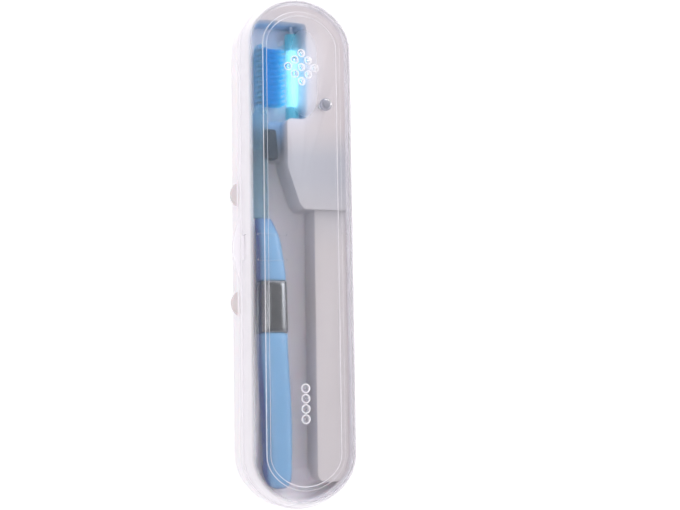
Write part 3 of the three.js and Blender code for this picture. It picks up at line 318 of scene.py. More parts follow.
def new_material(name: str) -> tuple[bpy.types.Material, Tree, bpy.types.Node]:
    """A new material with its tree and its Principled node."""
    material = bpy.data.materials.new(name)
    material.use_nodes = True
    return material, Tree(material.node_tree), material.node_tree.nodes["Principled BSDF"]


# Finishes


@dataclass(frozen=True)
class Fade:
    """A colour of painted shade or painted lamp light that a finish has before a place on an axis, and the
    width over which it gives way.
    """

    before: Colour
    axis: Axis
    start: float
    width: float


@dataclass(frozen=True)
class Finish:
    """A surface. Each kind of surface writes its own nodes; one material is made for each name."""

    name: str
    slot: str

    def material(self) -> bpy.types.Material:
        """The material, made on its first use."""
        made = bpy.data.materials.get(self.name)
        if made is None:
            made, tree, shader = new_material(self.name)
            self.write(tree, shader)
        return made

    def write(self, tree: Tree, shader: bpy.types.Node) -> None:
        """Writes the nodes; each kind of finish has its own."""
        raise NotImplementedError


@dataclass(frozen=True)
class Moulded(Finish):
    """Moulded plastic: a fine spark-eroded grain, slow drifts of shade and a soft skin."""

    colour: Colour
    shade: float = 0.06
    roughness: float = 0.4
    spread: float = 0.08
    drift_size: float = 14 * MM
    grain: float = 0.35 * MM
    grain_depth: float = 0.006 * MM
    coat: float = 0.0
    coat_roughness: float = 0.1
    subsurface: float = 0.0
    subsurface_reach: float = 2 * MM
    ior: float = 1.47
    fades: tuple[Fade, ...] = ()

    def write(self, tree: Tree, shader: bpy.types.Node) -> None:
        """Writes a drift of colour, any painted fades, a broken gloss and the grain's bump.

        Args:
            tree: The material's tree.
            shader: Its Principled node.
        """
        drift = tree.noise(self.drift_size, 2.0)
        grain = tree.noise(self.grain, 4.0)
        share = (drift * 0.7 + grain * 0.3).clamped()
        colour = tree.mix(share, darker(self.colour, self.shade), self.colour)
        tree.fill(shader, {
            "Base Color": tree.faded(self.fades, colour),
            "Roughness": self.roughness + (grain - 0.5) * self.spread,
            "Normal": tree.bump(grain, self.grain_depth),
            "Coat Weight": self.coat,
            "Coat Roughness": self.coat_roughness,
            "Subsurface Weight": self.subsurface,
            "Subsurface Scale": self.subsurface_reach,
            "IOR": self.ior,
        })


@dataclass(frozen=True)
class LitNylon(Moulded):
    """Nylon or rubber with painted lamp light: an emission, brighter towards its +X end, in place of the
    lamp's light on it.
    """

    glow: Colour = UNLIT
    painted_tip_light: Colour = UNLIT
    root: float = 0.0
    tip: float = 10 * MM
    tip_power: float = 2.5
    streak: float = 0.6 * MM
    strength: float = 1.0

    def write(self, tree: Tree, shader: bpy.types.Node) -> None:
        """Adds the painted lamp light, as emission, to the moulded nylon.

        Args:
            tree: The material's tree.
            shader: Its Principled node.
        """
        super().write(tree, shader)
        across, _, _ = tree.axes()
        streaks = tree.noise(self.streak, 2.0, (0.1, 1, 1))
        share = across.above(self.root, self.tip - self.root) ** self.tip_power * (0.7 + streaks * 0.6)
        tree.fill(shader, {
            "Emission Color": tree.mix(share.clamped(), self.glow, self.painted_tip_light),
            "Emission Strength": self.strength,
        })


@dataclass(frozen=True)
class Metal(Finish):
    """Metal with brush marks drawn out along one axis."""

    colour: Colour
    dark: Colour
    roughness: float
    spread: float = 0.12
    stretch: tuple[float, float, float] = (1.0, 1.0, 1.0)
    marks: float = 0.15 * MM
    mark_depth: float = 0.002 * MM
    fades: tuple[Fade, ...] = ()

    def write(self, tree: Tree, shader: bpy.types.Node) -> None:
        """Writes the brush marks into colour, gloss and bump, and any painted fades into colour.

        Args:
            tree: The material's tree.
            shader: Its Principled node.
        """
        marks = tree.noise(self.marks, 3.0, self.stretch)
        tree.fill(shader, {
            "Base Color": tree.faded(self.fades, tree.mix(marks, self.dark, self.colour)),
            "Roughness": self.roughness + (marks - 0.5) * self.spread,
            "Normal": tree.bump(marks, self.mark_depth),
            "Metallic": 1.0,
        })


@dataclass(frozen=True)
class ClearPlastic(Finish):
    """Clear or frosted plastic that lets the lamps through to what it covers."""

    colour: Colour
    shade: float
    roughness: float
    spread: float = 0.04
    drift_size: float = 20 * MM
    grain: float = 1.5 * MM
    grain_depth: float = 0.001 * MM
    transmission: float = 0.9
    ior: float = 1.45
    passed: Colour = (0.9, 0.9, 0.9, 1.0)

    def gloss(self, tree: Tree, grain: Value) -> Value:
        """The roughness, broken up by the grain."""
        return (grain - 0.5) * self.spread + self.roughness

    def body(self, tree: Tree, shader: bpy.types.Node) -> bpy.types.NodeSocket:
        """What the plastic shows; a kind with milky or lit zones adds them here."""
        return shader.outputs[0]

    def write(self, tree: Tree, shader: bpy.types.Node) -> None:
        """Writes the plastic and a clear stand-in for rays from lamps.

        Args:
            tree: The material's tree.
            shader: Its Principled node.
        """
        drift = tree.noise(self.drift_size, 2.0)
        grain = tree.noise(self.grain, 3.0)
        tree.fill(shader, {
            "Base Color": tree.mix(drift, darker(self.colour, self.shade), self.colour),
            "Roughness": self.gloss(tree, grain),
            "Normal": tree.bump(grain, self.grain_depth),
            "Transmission Weight": self.transmission,
            "IOR": self.ior,
        })
        tree.lamps_pass(self.body(tree, shader), self.passed)


@dataclass(frozen=True)
class LidPlastic(ClearPlastic):
    """Clear plastic that turns milky down its side walls and white, as painted highlights, on what stands
    proud of its flat top.

    The frosted kind has a second, coarser frost, and a soft-edged window over the lamp where the first
    one is coarser too.
    """

    milk: Colour = srgb(235, 232, 236)
    milk_shade: float = 0.04
    milk_roughness: float = 0.45
    milk_through: float = 0.14
    milk_coat: float = 0.4
    milk_coat_roughness: float = 0.08
    cloud: float = 9 * MM
    walls_share: float = 0.98
    milk_foot: float = 21.8 * MM
    milk_end: float = 23.2 * MM
    proud_foot: float = 23.63 * MM
    proud_top: float = 23.93 * MM
    proud_edge: float = 0.04 * MM
    glint_paint_share: float = 0.95
    veil: float = 0.008
    haze: float = 0.0
    haze_roughness: float = 0.5
    window: Point = (1.5 * MM, 74 * MM)
    window_reach: Point = (9 * MM, 23 * MM)
    window_roughness: float = 0.0

    def gloss(self, tree: Tree, grain: Value) -> Value:
        """The roughness, coarser in the window over the lamp.

        Args:
            tree: The material's tree.
            grain: The grain that breaks the gloss up.

        Returns:
            The roughness.
        """
        across, along, _ = tree.axes()
        aside = ((across - self.window[0]) / self.window_reach[0]) ** 2.0
        apart = ((along - self.window[1]) / self.window_reach[1]) ** 4.0
        inside = (1.0 - aside - apart).clamped() ** 2.0
        return super().gloss(tree, grain) + inside * self.window_roughness

    def hazed(self, tree: Tree, shader: bpy.types.NodeSocket, cloud: Value) -> bpy.types.NodeSocket:
        """The clear plastic with the coarser frost mixed in.

        Args:
            tree: The material's tree.
            shader: The clear plastic.
            cloud: The cloud that shifts the share.

        Returns:
            Both together.
        """
        coarse = tree.add("ShaderNodeBsdfPrincipled", inputs={
            "Base Color": self.colour,
            "Roughness": self.haze_roughness,
            "Transmission Weight": 1.0,
            "IOR": self.ior,
        })
        share = (cloud * 0.2 + 0.9) * self.haze
        return tree.add("ShaderNodeMixShader", inputs={0: share, 1: shader, 2: coarse.outputs[0]}).outputs[0]

    def milkiness(self, tree: Tree, cloud: Value) -> Value:
        """How milky the plastic is by its height, painted highlights on the proud bead and vent rings
        included.

        Args:
            tree: The material's tree.
            cloud: The cloud that shifts it.

        Returns:
            The milk's share.
        """
        _, _, up = tree.axes()
        # The walls' milk is partly the plastic's own and partly painted whitening, as walls seen edge-on
        # look whiter.
        walls = 1.0 - up.above(self.milk_foot, self.milk_end - self.milk_foot)
        # Painted highlights: the proud bead and vent rings turn milky white as glints.
        painted_glints = up.above(self.proud_foot, self.proud_edge)
        painted_glints = painted_glints * (1.0 - up.above(self.proud_top, self.proud_edge))
        walls = walls * (cloud * 0.04 + 0.98) * self.walls_share
        return (walls + painted_glints * self.glint_paint_share + cloud * (2 * self.veil)).clamped()

    def body(self, tree: Tree, shader: bpy.types.Node) -> bpy.types.NodeSocket:
        """Mixes the milky plastic and the haze into the clear one.

        Args:
            tree: The material's tree.
            shader: Its Principled node.

        Returns:
            What the lid shows.
        """
        cloud = tree.noise(self.cloud, 2.0)
        clear = self.hazed(tree, shader.outputs[0], cloud) if self.haze else shader.outputs[0]
        milky = tree.add("ShaderNodeBsdfPrincipled", inputs={
            "Base Color": tree.mix(cloud, darker(self.milk, self.milk_shade), self.milk),
            "Roughness": self.milk_roughness + (cloud - 0.5) * 0.1,
            "Transmission Weight": self.milk_through,
            "IOR": self.ior,
            "Coat Weight": self.milk_coat,
            "Coat Roughness": self.milk_coat_roughness,
        })
        share = self.milkiness(tree, cloud)
        return tree.add("ShaderNodeMixShader", inputs={0: share, 1: clear, 2: milky.outputs[0]}).outputs[0]


@dataclass(frozen=True)
class LitClear(ClearPlastic):
    """Clear plastic with painted lamp light: an emission that rises along Y in place of the lamp's light on
    it.
    """

    glow: Colour = UNLIT
    glow_from: float = 0.0
    glow_to: float = 10 * MM
    strength: float = 1.0

    def body(self, tree: Tree, shader: bpy.types.Node) -> bpy.types.NodeSocket:
        """Adds the painted lamp light as emission.

        Args:
            tree: The material's tree.
            shader: Its Principled node.

        Returns:
            The plastic with its painted light.
        """
        _, along, _ = tree.axes()
        share = along.above(self.glow_from, self.glow_to - self.glow_from)
        tree.fill(shader, {
            "Emission Color": tree.mix(share, UNLIT, self.glow),
            "Emission Strength": self.strength,
        })
        return shader.outputs[0]


@dataclass(frozen=True)
class LitTube(Finish):
    """The lamp's glass, lit from inside, cooler at both ends and on its -X side."""

    colour: Colour
    core: Colour
    ends: Colour
    foot: float
    head: float
    strength: float
    end_length: float = 5 * MM
    cool_side: float = -2.4 * MM
    cool_width: float = 3.8 * MM
    flicker: float = 3 * MM

    def write(self, tree: Tree, shader: bpy.types.Node) -> None:
        """Writes a glow that fades over the last millimetres at the electrodes.

        Args:
            tree: The material's tree.
            shader: Its Principled node.
        """
        across, along, _ = tree.axes()
        flicker = tree.noise(self.flicker, 2.0)
        lit = along.above(self.foot, self.end_length)
        lit = lit * (1.0 - along.above(self.head - self.end_length, self.end_length))
        lit = lit * (across.above(self.cool_side, self.cool_width) * 0.7 + 0.3)
        tree.fill(shader, {
            "Base Color": tree.mix(flicker, self.ends, self.colour),
            "Emission Color": tree.mix((lit * (0.85 + flicker * 0.3)).clamped(), self.ends, self.core),
            "Emission Strength": self.strength,
            "Roughness": 0.08 + flicker * 0.06,
        })
        tree.lamps_pass(shader.outputs[0])


LID_CLEAR = srgb(252, 251, 254)
LID_PASSED = (0.97, 0.97, 0.98, 1.0)


class Finishes(Enum):
    """The case's finishes."""

    # Painted shade: the base is darker and warmer beyond x = -25.7 mm, on its finger ears under the lid's
    # lip.
    SHELL = Moulded(
        "shell_white_plastic", "shell_white", srgb(236, 233, 236), shade=0.03, roughness=0.34,
        spread=0.06, subsurface=0.15, fades=(Fade(srgb(200, 192, 193), Axis.X, -25.7 * MM, 0.5 * MM),),
    )
    COVER = Moulded(
        "cover_pale_plastic", "cover_pale", srgb(210, 203, 202), shade=0.04, roughness=0.5,
        fades=(
            # Painted lamp light: the bay's low walls, below z 9 mm, are blue as if lit by the lamp.
            Fade(srgb(146, 182, 212), Axis.Z, 9 * MM, 6 * MM),
            # Painted shade: the block, from y 0 to about 53 mm, is a darker grey.
            Fade(srgb(184, 186, 192), Axis.Y, 39 * MM, 14 * MM),
            # End of the painted shade: the plateau, below y 0, keeps about the plain colour.
            Fade(srgb(209, 204, 203), Axis.Y, 0.0, 30 * MM),
        ),
    )
    CLIP = Moulded(
        "clip_slate_plastic", "clip_slate", srgb(48, 63, 75), shade=0.12, roughness=0.5, spread=0.1,
    )
    PLUNGER = Moulded("plunger_white_plastic", "plunger_white", srgb(240, 240, 238), shade=0.04)
    BLACK = Moulded("black_plastic_moulded", "black_plastic", srgb(44, 45, 48), shade=0.2, roughness=0.45)
    # Painted lamp light: the boots glow teal by emission, though they are no lamp.
    BOOT = LitNylon(
        "boot_silicone", "boot_rubber", srgb(60, 160, 178), shade=0.12, roughness=0.55, spread=0.1,
        glow=srgb(16, 96, 110), painted_tip_light=srgb(30, 124, 138), strength=0.5,
    )
    # Painted shade: the handle's lower flank, below z 10.4 mm, is navy where the tray's wall shades it.
    HANDLE = Moulded(
        "handle_blue_plastic", "handle_blue", srgb(122, 170, 208), shade=0.05, roughness=0.32,
        spread=0.06, grain_depth=0.002 * MM, coat=0.35, subsurface=0.05,
        fades=(Fade(srgb(6, 66, 140), Axis.Z, 10.4 * MM, 2.2 * MM),),
    )
    BOARD = Moulded("board_green_resist", "board_green", srgb(40, 104, 70), shade=0.25, roughness=0.35)
    FERRITE = Moulded(
        "ferrite_sintered", "ferrite", srgb(58, 60, 64), shade=0.3, roughness=0.75, spread=0.15,
    )
    CAPACITOR = Moulded(
        "capacitor_dipped", "capacitor_blue", srgb(44, 78, 160), shade=0.12, roughness=0.25, coat=0.5,
    )
    LEAD_WHITE = Moulded("lead_white_insulation", "lead_white", srgb(222, 226, 234), roughness=0.45)
    LEAD_RED = Moulded("lead_red_insulation", "lead_red", srgb(194, 58, 50), shade=0.1, roughness=0.45)
    LEAD_BLACK = Moulded(
        "lead_black_insulation", "lead_black", srgb(38, 40, 44), shade=0.15, roughness=0.45,
    )
    # Painted lamp light: the bristles glow blue by emission, cyan at their tips near the lamp.
    BRISTLE = LitNylon(
        "bristle_blue_nylon", "bristle_blue", srgb(4, 108, 182), shade=0.25, roughness=0.45, ior=1.2,
        glow=srgb(0, 104, 148), painted_tip_light=srgb(70, 220, 240), root=-9.5 * MM, tip=-2.6 * MM, strength=0.9,
    )
    # Painted shade: the tufts' roots are the bristles' blue nylon, darkened as shade inside the plate.
    ROOT = Moulded("tuft_root_nylon", "bristle_blue", srgb(16, 56, 84), shade=0.2, roughness=0.5)
    STEEL = Metal(
        "steel_turned", "steel", srgb(200, 202, 206), srgb(150, 152, 158), 0.28, stretch=(1, 1, 0.1),
    )
    NICKEL = Metal("nickel_plated", "nickel", srgb(216, 212, 200), srgb(170, 166, 156), 0.25)
    CELL = Metal(
        "cell_jacket_satin", "cell_jacket", srgb(176, 184, 194), srgb(138, 146, 158), 0.35,
        stretch=(1, 0.1, 1),
    )
    COPPER = Metal("copper_enamelled", "copper", srgb(206, 126, 66), srgb(150, 84, 40), 0.3)
    # Painted shade: the band's lower flank, below z 12 mm, is dark navy.
    BAND = Metal(
        "band_brushed", "band_metal", srgb(154, 158, 160), srgb(136, 140, 142), 0.2, spread=0.06,
        stretch=(1, 0.06, 1), fades=(Fade(srgb(40, 70, 108), Axis.Z, 12.0 * MM, 0.8 * MM),),
    )
    # Painted highlights on the bead and vent rings, and partly painted whitening of the walls, come from the
    # milk.
    LID = LidPlastic(
        "lid_clear_plastic", "lid_frost", LID_CLEAR, shade=0.01, roughness=0.04, spread=0.02,
        transmission=1.0, passed=LID_PASSED, grain_depth=0.0003 * MM,
    )
    LID_FROST = LidPlastic(
        "lid_frosted_inside", "lid_frost", LID_CLEAR, shade=0.01, roughness=0.15, transmission=1.0,
        passed=LID_PASSED, walls_share=0.0, glint_paint_share=0.0, haze=0.2, veil=0.0, window_roughness=0.38,
    )
    BUTTON = ClearPlastic(
        "button_clear_plastic", "button_clear", srgb(176, 178, 188), shade=0.05, roughness=0.12,
        transmission=0.6,
    )
    # Painted lamp light: the neck glows blue by emission near the head, from y 50 to 66 mm.
    NECK = LitClear(
        "neck_smoky_plastic", "neck_clear", srgb(144, 180, 196), shade=0.08, roughness=0.1,
        transmission=0.85, ior=1.35, passed=(0.66, 0.8, 0.9, 1.0), glow=srgb(10, 84, 118),
        glow_from=50 * MM, glow_to=66 * MM, strength=0.7,
    )
    LAMP = LitTube(
        "lamp_lit_glass", "lamp_glass", srgb(150, 240, 255), core=(0.42, 0.97, 1.0, 1.0),
        ends=(0.0, 0.2, 0.45, 1.0), foot=57 * MM, head=91 * MM, strength=1.1,
    )


# Meshes


def link(name: str, mesh: bpy.types.Mesh) -> bpy.types.Object:
    """Puts a mesh into the scene as an object at the origin.

    Args:
        name: The object's name.
        mesh: Its mesh.

    Returns:
        The object.
    """
    piece = bpy.data.objects.new(name, mesh)
    bpy.context.scene.collection.objects.link(piece)
    return piece


def smooth(piece: bpy.types.Object, angle: float = SMOOTH_ANGLE) -> bpy.types.Object:
    """Shades a piece smooth but for edges sharper than an angle.

    Args:
        piece: The piece.
        angle: The angle in degrees.

    Returns:
        The piece.
    """
    piece.data.shade_smooth()
    piece.data.set_sharp_from_angle(angle=math.radians(angle))
    return piece


def mesh_from(name: str, points: Sequence[Vector], faces: Sequence[Sequence[int]]) -> bpy.types.Mesh:
    """A mesh from points and faces, doubles merged and faces turned outwards.

    Args:
        name: The mesh's name.
        points: Its points.
        faces: The numbers of each face's points.

    Returns:
        The mesh.
    """
    form = bmesh.new()
    corners = [form.verts.new(point) for point in points]
    for face in faces:
        form.faces.new([corners[i] for i in face])
    bmesh.ops.remove_doubles(form, verts=form.verts, dist=MERGE_REACH)
    bmesh.ops.recalc_face_normals(form, faces=form.faces)
    return written(name, form)


def written(name: str, form: bmesh.types.BMesh) -> bpy.types.Mesh:
    """A new mesh with what was built, which is freed.

    Args:
        name: The mesh's name.
        form: What was built.

    Returns:
        The mesh.
    """
    mesh = bpy.data.meshes.new(name)
    form.to_mesh(mesh)
    form.free()
    return mesh


def skin(name: str, rings: Sequence[Ring], closed: bool = False) -> bpy.types.Object:
    """A piece with a skin through rings of equally many points.

    Args:
        name: The piece's name.
        rings: The rings, one after the other.
        closed: True joins the last ring to the first; otherwise both ends get a cap.

    Returns:
        The piece.
    """
    count = len(rings[0])
    points = [point for ring in rings for point in ring]
    faces = []
    for row in range(len(rings) if closed else len(rings) - 1):
        low, high = row * count, ((row + 1) % len(rings)) * count
        for i in range(count):
            after = (i + 1) % count
            faces.append((low + i, low + after, high + after, high + i))
    if not closed:
        faces.append(tuple(range(count)))
        faces.append(tuple(range(len(points) - count, len(points))))
    return link(name, mesh_from(name, points, faces))


def bake(piece: bpy.types.Object) -> None:
    """Writes a piece's modifiers into its mesh and removes them."""
    graph = bpy.context.evaluated_depsgraph_get()
    mesh = bpy.data.meshes.new_from_object(piece.evaluated_get(graph))
    piece.modifiers.clear()
    piece.data = mesh


def eased(piece: bpy.types.Object, width: float) -> bpy.types.Object:
    """Rounds a piece's sharp edges.

    Args:
        piece: The piece.
        width: Width of the rounding in metres.

    Returns:
        The piece.
    """
    edge = piece.modifiers.new("edge", "BEVEL")
    edge.width = width
    edge.segments = 2
    edge.limit_method = "ANGLE"
    edge.angle_limit = math.radians(40)
    edge.use_clamp_overlap = True
    bake(piece)
    return piece


def prism(name: str, outline: Sequence[Point], axis: Axis, low: float, high: float) -> bpy.types.Object:
    """A flat outline across an axis, drawn out along it.

    Args:
        name: The piece's name.
        outline: Points on the other two axes, in their order.
        axis: The axis.
        low: Where it starts on the axis.
        high: Where it ends.

    Returns:
        The piece.
    """
    return skin(name, [[axis.point(*point, level) for point in outline] for level in (low, high)])


def arc(centre: Point, radius: float, start: float, end: float, steps: int) -> list[Point]:
    """Points on an arc, its end left out.

    Args:
        centre: Its centre.
        radius: Its radius.
        start: The angle in radians where it starts.
        end: The angle where it ends.
        steps: How many points it has.

    Returns:
        The points.
    """
    turns = [start + (end - start) * i / steps for i in range(steps)]
    return [(centre[0] + radius * math.cos(turn), centre[1] + radius * math.sin(turn)) for turn in turns]


def circle(centre: Point, radius: float, steps: int = 48) -> list[Point]:
    """Points on a circle."""
    return arc(centre, radius, 0.0, 2 * math.pi, steps)


def rectangle(x0: float, y0: float, x1: float, y1: float) -> list[Point]:
    """The four corners of a rectangle."""
    return [(x0, y0), (x1, y0), (x1, y1), (x0, y1)]


def lathe(name: str, profile: Sequence[Point], steps: int = 40, ring: bool = False) -> bpy.types.Object:
    """A body turned about the Z axis.

    Args:
        name: The piece's name.
        profile: Its (radius, z) points.
        steps: Spans round the axis.
        ring: True closes the profile on itself.

    Returns:
        The piece.
    """
    count = len(profile)
    points, faces = [], []
    for step in range(steps):
        turn = 2 * math.pi * step / steps
        points += [Vector((r * math.cos(turn), r * math.sin(turn), z)) for r, z in profile]
    for step in range(steps):
        low, high = step * count, ((step + 1) % steps) * count
        for i in range(count if ring else count - 1):
            after = (i + 1) % count
            corners = [low + i, low + after, high + after, high + i]
            if profile[i][0] == 0:
                corners.remove(high + i)
            if profile[after][0] == 0:
                corners.remove(high + after)
            if len(corners) > 2:
                faces.append(tuple(corners))
    return link(name, mesh_from(name, points, faces))


def carve(piece: bpy.types.Object, others: Sequence[bpy.types.Object], carving: Carving) -> None:
    """Joins other pieces to a piece, or cuts them out of it, and removes them.

    Args:
        piece: The piece that stays.
        others: The other pieces.
        carving: What becomes of them.
    """
    for other in others:
        step = piece.modifiers.new(other.name, "BOOLEAN")
        step.operation = carving.value
        step.solver = "EXACT"
        step.object = other
    bpy.context.view_layer.update()
    bake(piece)
    for other in others:
        bpy.data.objects.remove(other)


def laid(piece: bpy.types.Object, place: Sequence[float], turn: float) -> bpy.types.Object:
    """Lays an upright body down along the Y axis and shades it smooth.

    Args:
        piece: The body.
        place: Where its foot goes.
        turn: How far it is turned about X, in radians.

    Returns:
        The body.
    """
    piece.data.transform(Matrix.Translation(place) @ Matrix.Rotation(turn, 4, "X"))
    return smooth(piece)


def evened(piece: bpy.types.Object) -> bpy.types.Object:
    """Shades a piece smooth, with large faces ruling the normals so that flat parts stay flat.

    Args:
        piece: The piece.

    Returns:
        The piece.
    """
    smooth(piece)
    even = piece.modifiers.new("even", "WEIGHTED_NORMAL")
    even.keep_sharp = True
    even.weight = 80
    bake(piece)
    return piece


def filleted(
    corners: Sequence[tuple[float, float, float]], steps: int = 4, hold: float = 0.12 * MM,
) -> list[Point]:
    """A line through corners, each rounded by its own radius.

    Args:
        corners: (across, up, radius) of each corner.
        steps: Spans on each rounded corner.
        hold: Length of a short straight span kept after each rounding, where there is room.

    Returns:
        The rounded line's points.
    """
    line = []
    for i, (x, y, radius) in enumerate(corners):
        here = Vector((x, y))
        if radius <= 0 or i in (0, len(corners) - 1):
            line.append((x, y))
            continue
        back = Vector(corners[i - 1][:2]) - here
        on = Vector(corners[i + 1][:2]) - here
        reach = min(radius, 0.45 * back.length, 0.45 * on.length)
        enter, leave = here + back.normalized() * reach, here + on.normalized() * reach
        line.append(tuple(enter + back.normalized() * min(hold, 0.04 * back.length)))
        for step in range(steps + 1):
            t = step / steps
            line.append(tuple(enter * (1 - t) ** 2 + here * (2 * t * (1 - t)) + leave * t**2))
        line.append(tuple(leave + on.normalized() * min(hold, 0.04 * on.length)))
    return line


@dataclass(frozen=True)
class CaseOutline:
    """The case's outline from above: straight sides and ends of three arcs."""

    half_width: float = 25 * MM
    half_length: float = 107.7 * MM
    end_rise: float = 22.7 * MM
    corner_share: float = 0.9
    corner_steps: int = 14
    crown_steps: int = 44

    def ring(self, inset: float, z: float) -> Ring:
        """The outline moved inwards by an inset, at a height.

        Args:
            inset: How far inwards.
            z: The height.

        Returns:
            The outline's points.
        """
        corner = self.end_rise * self.corner_share
        corner_x = self.half_width - corner
        crown = (corner_x**2 + self.end_rise**2 - corner**2) / (2 * (self.end_rise - corner))
        straight = self.half_length - self.end_rise
        crown_y = straight + self.end_rise - crown
        turn = math.atan2(straight - crown_y, corner_x)
        half = [
            *arc((corner_x, straight), corner - inset, 0, turn, self.corner_steps),
            *arc((0, crown_y), crown - inset, turn, math.pi - turn, self.crown_steps),
            *arc((-corner_x, straight), corner - inset, math.pi - turn, math.pi, self.corner_steps),
            (-self.half_width + inset, straight),
        ]
        return [Vector((x, y, z)) for x, y in half + [(-x, -y) for x, y in half]]


def dress(piece: bpy.types.Object, finish: Finishes) -> None:
    """Gives a piece one finish all over.

    Args:
        piece: The piece, or a CAD node.
        finish: The finish.
    """
    piece.data.materials.clear()
    piece.data.materials.append(finish.value.material())


def set_up(piece: bpy.types.Object, node: str | None, finish: Finishes, body: str = "base") -> None:
    """Dresses a finished piece, hides the CAD node that it stands for, sets it on its body and reports it.

    Args:
        piece: The piece.
        node: The CAD node that it stands for, or None for one that is only added.
        finish: Its finish.
        body: Its body.
    """
    if node:
        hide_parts(node)
    dress(piece, finish)
    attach(piece, body)
    log.info("%s rides on %s: %d faces", piece.name, body, len(piece.data.polygons))


def refine(node: str, name: str, edge: float, finish: Finishes, body: str = "base") -> None:
    """Sets up a finer piece made from a CAD node: doubles merged, flat faces whole, edges rounded.

    Args:
        node: The CAD node that it is made from and stands for.
        name: The new piece's name.
        edge: Width of the rounding in metres.
        finish: Its finish.
        body: Its body.
    """
    form = bmesh.new()
    form.from_mesh(frame["nodes"][node].data)
    bmesh.ops.remove_doubles(form, verts=form.verts, dist=MERGE_REACH)
    bmesh.ops.dissolve_limit(form, angle_limit=math.radians(FLAT_ANGLE), verts=form.verts, edges=form.edges)
    piece = smooth(eased(link(name, written(name, form)), edge))
    set_up(piece, node, finish, body)


# Geometry node trees


class GeometryTree(Tree):
    """A geometry node tree with named inputs for its sizes."""

    def __init__(self, name: str, **inputs: str) -> None:
        """Makes the tree with its inputs.

        Args:
            name: The tree's name.
            inputs: Each input's name, with _ for a space, and the last word of its socket type.
        """
        group = bpy.data.node_groups.new(name, "GeometryNodeTree")
        group.interface.new_socket("Geometry", in_out="OUTPUT", socket_type="NodeSocketGeometry")
        for label, kind in inputs.items():
            group.interface.new_socket(
                label.replace("_", " "), in_out="INPUT", socket_type=f"NodeSocket{kind}",
            )
        super().__init__(group)
        self.source = self.add("NodeGroupInput")
        self.result = self.add("NodeGroupOutput")

    def given(self, label: str) -> Value:
        """One of the tree's inputs."""
        return Value(self, self.source.outputs[label])

    def tube(self, line: bpy.types.NodeSocket, radius: Value) -> bpy.types.NodeSocket:
        """A round wire along a line, its ends closed.

        Args:
            line: The line, as a curve.
            radius: The wire's radius.

        Returns:
            The wire's mesh.
        """
        inputs = {"Resolution": WIRE_SIDES, "Radius": radius}
        section = self.add("GeometryNodeCurvePrimitiveCircle", inputs=inputs)
        inputs = {0: line, 1: section.outputs[0], "Fill Caps": True}
        return self.add("GeometryNodeCurveToMesh", inputs=inputs).outputs[0]

    def repeated(self, points: Any, form: Any, **inputs: Any) -> bpy.types.NodeSocket:
        """A form set on points.

        Args:
            points: The points.
            form: The form.
            inputs: What else the node takes, such as the copies' Scale.

        Returns:
            The copies.
        """
        inputs.update({"Points": points, "Instance": form})
        return self.add("GeometryNodeInstanceOnPoints", inputs=inputs).outputs[0]

    def moved(self, geometry: bpy.types.NodeSocket, place: Any, turn: Euler) -> bpy.types.NodeSocket:
        """Geometry turned and then moved.

        Args:
            geometry: The geometry.
            place: How far it is moved.
            turn: How it is turned.

        Returns:
            The geometry in its new place.
        """
        inputs = {"Geometry": geometry, "Translation": place, "Rotation": turn}
        return self.add("GeometryNodeTransform", inputs=inputs).outputs[0]

    def vector(self, x: Number = 0.0, y: Number = 0.0, z: Number = 0.0) -> bpy.types.NodeSocket:
        """A vector from three numbers."""
        return self.add("ShaderNodeCombineXYZ", inputs={0: x, 1: y, 2: z}).outputs[0]

    def finish(self, geometry: bpy.types.NodeSocket, finish: Finishes) -> bpy.types.NodeTree:
        """Ends the tree in real geometry with its material.

        Args:
            geometry: What the tree has made.
            finish: Its finish.

        Returns:
            The tree.
        """
        real = self.add("GeometryNodeRealizeInstances", inputs={0: geometry})
        inputs = {"Geometry": real.outputs[0], "Material": finish.value.material()}
        coated = self.add("GeometryNodeSetMaterial", inputs=inputs)
        self.feed(self.result.inputs[0], coated.outputs[0])
        return self.nodes


def grown(name: str, tree: bpy.types.NodeTree, **values: Any) -> bpy.types.Object:
    """A piece made by a geometry node tree and baked to a plain mesh.

    Args:
        name: The piece's name.
        tree: The tree.
        values: The tree's inputs by name, with _ for a space.

    Returns:
        The piece, with no modifier left.
    """
    piece = link(name, bpy.data.meshes.new(name))
    modifier = piece.modifiers.new("form", "NODES")
    modifier.node_group = tree
    for item in tree.interface.items_tree:
        if item.in_out == "INPUT":
            modifier[item.identifier] = values[item.name.replace(" ", "_")]
    bake(piece)
    piece.data.name = name
    return piece


def wire_tree(name: str, finish: Finishes) -> bpy.types.NodeTree:
    """A tree that turns a path into a round wire of a radius.

    Args:
        name: The tree's name.
        finish: The wire's finish.

    Returns:
        The tree.
    """
    tree = GeometryTree(name, Path="Object", Radius="Float")
    path = tree.add("GeometryNodeObjectInfo", inputs={"Object": tree.given("Path")}).outputs["Geometry"]
    return tree.finish(tree.tube(path, tree.given("Radius")), finish)


def smooth_path(points: Sequence[Vector], per_span: int = 10) -> list[Vector]:
    """Points on a smooth line through given points.

    Args:
        points: The given points.
        per_span: How many points it gets from one given point to the next.

    Returns:
        The line's points.
    """
    path = []
    last = len(points) - 1
    for i in range(last):
        before, here = points[max(i - 1, 0)], points[i]
        there, after = points[i + 1], points[min(i + 2, last)]
        for step in range(per_span):
            t = step / per_span
            path.append(
                here * (2 * t**3 - 3 * t**2 + 1)
                + (there - before) / 2 * (t**3 - 2 * t**2 + t)
                + there * (3 * t**2 - 2 * t**3)
                + (after - here) / 2 * (t**3 - t**2)
            )
    return path + [points[last].copy()]


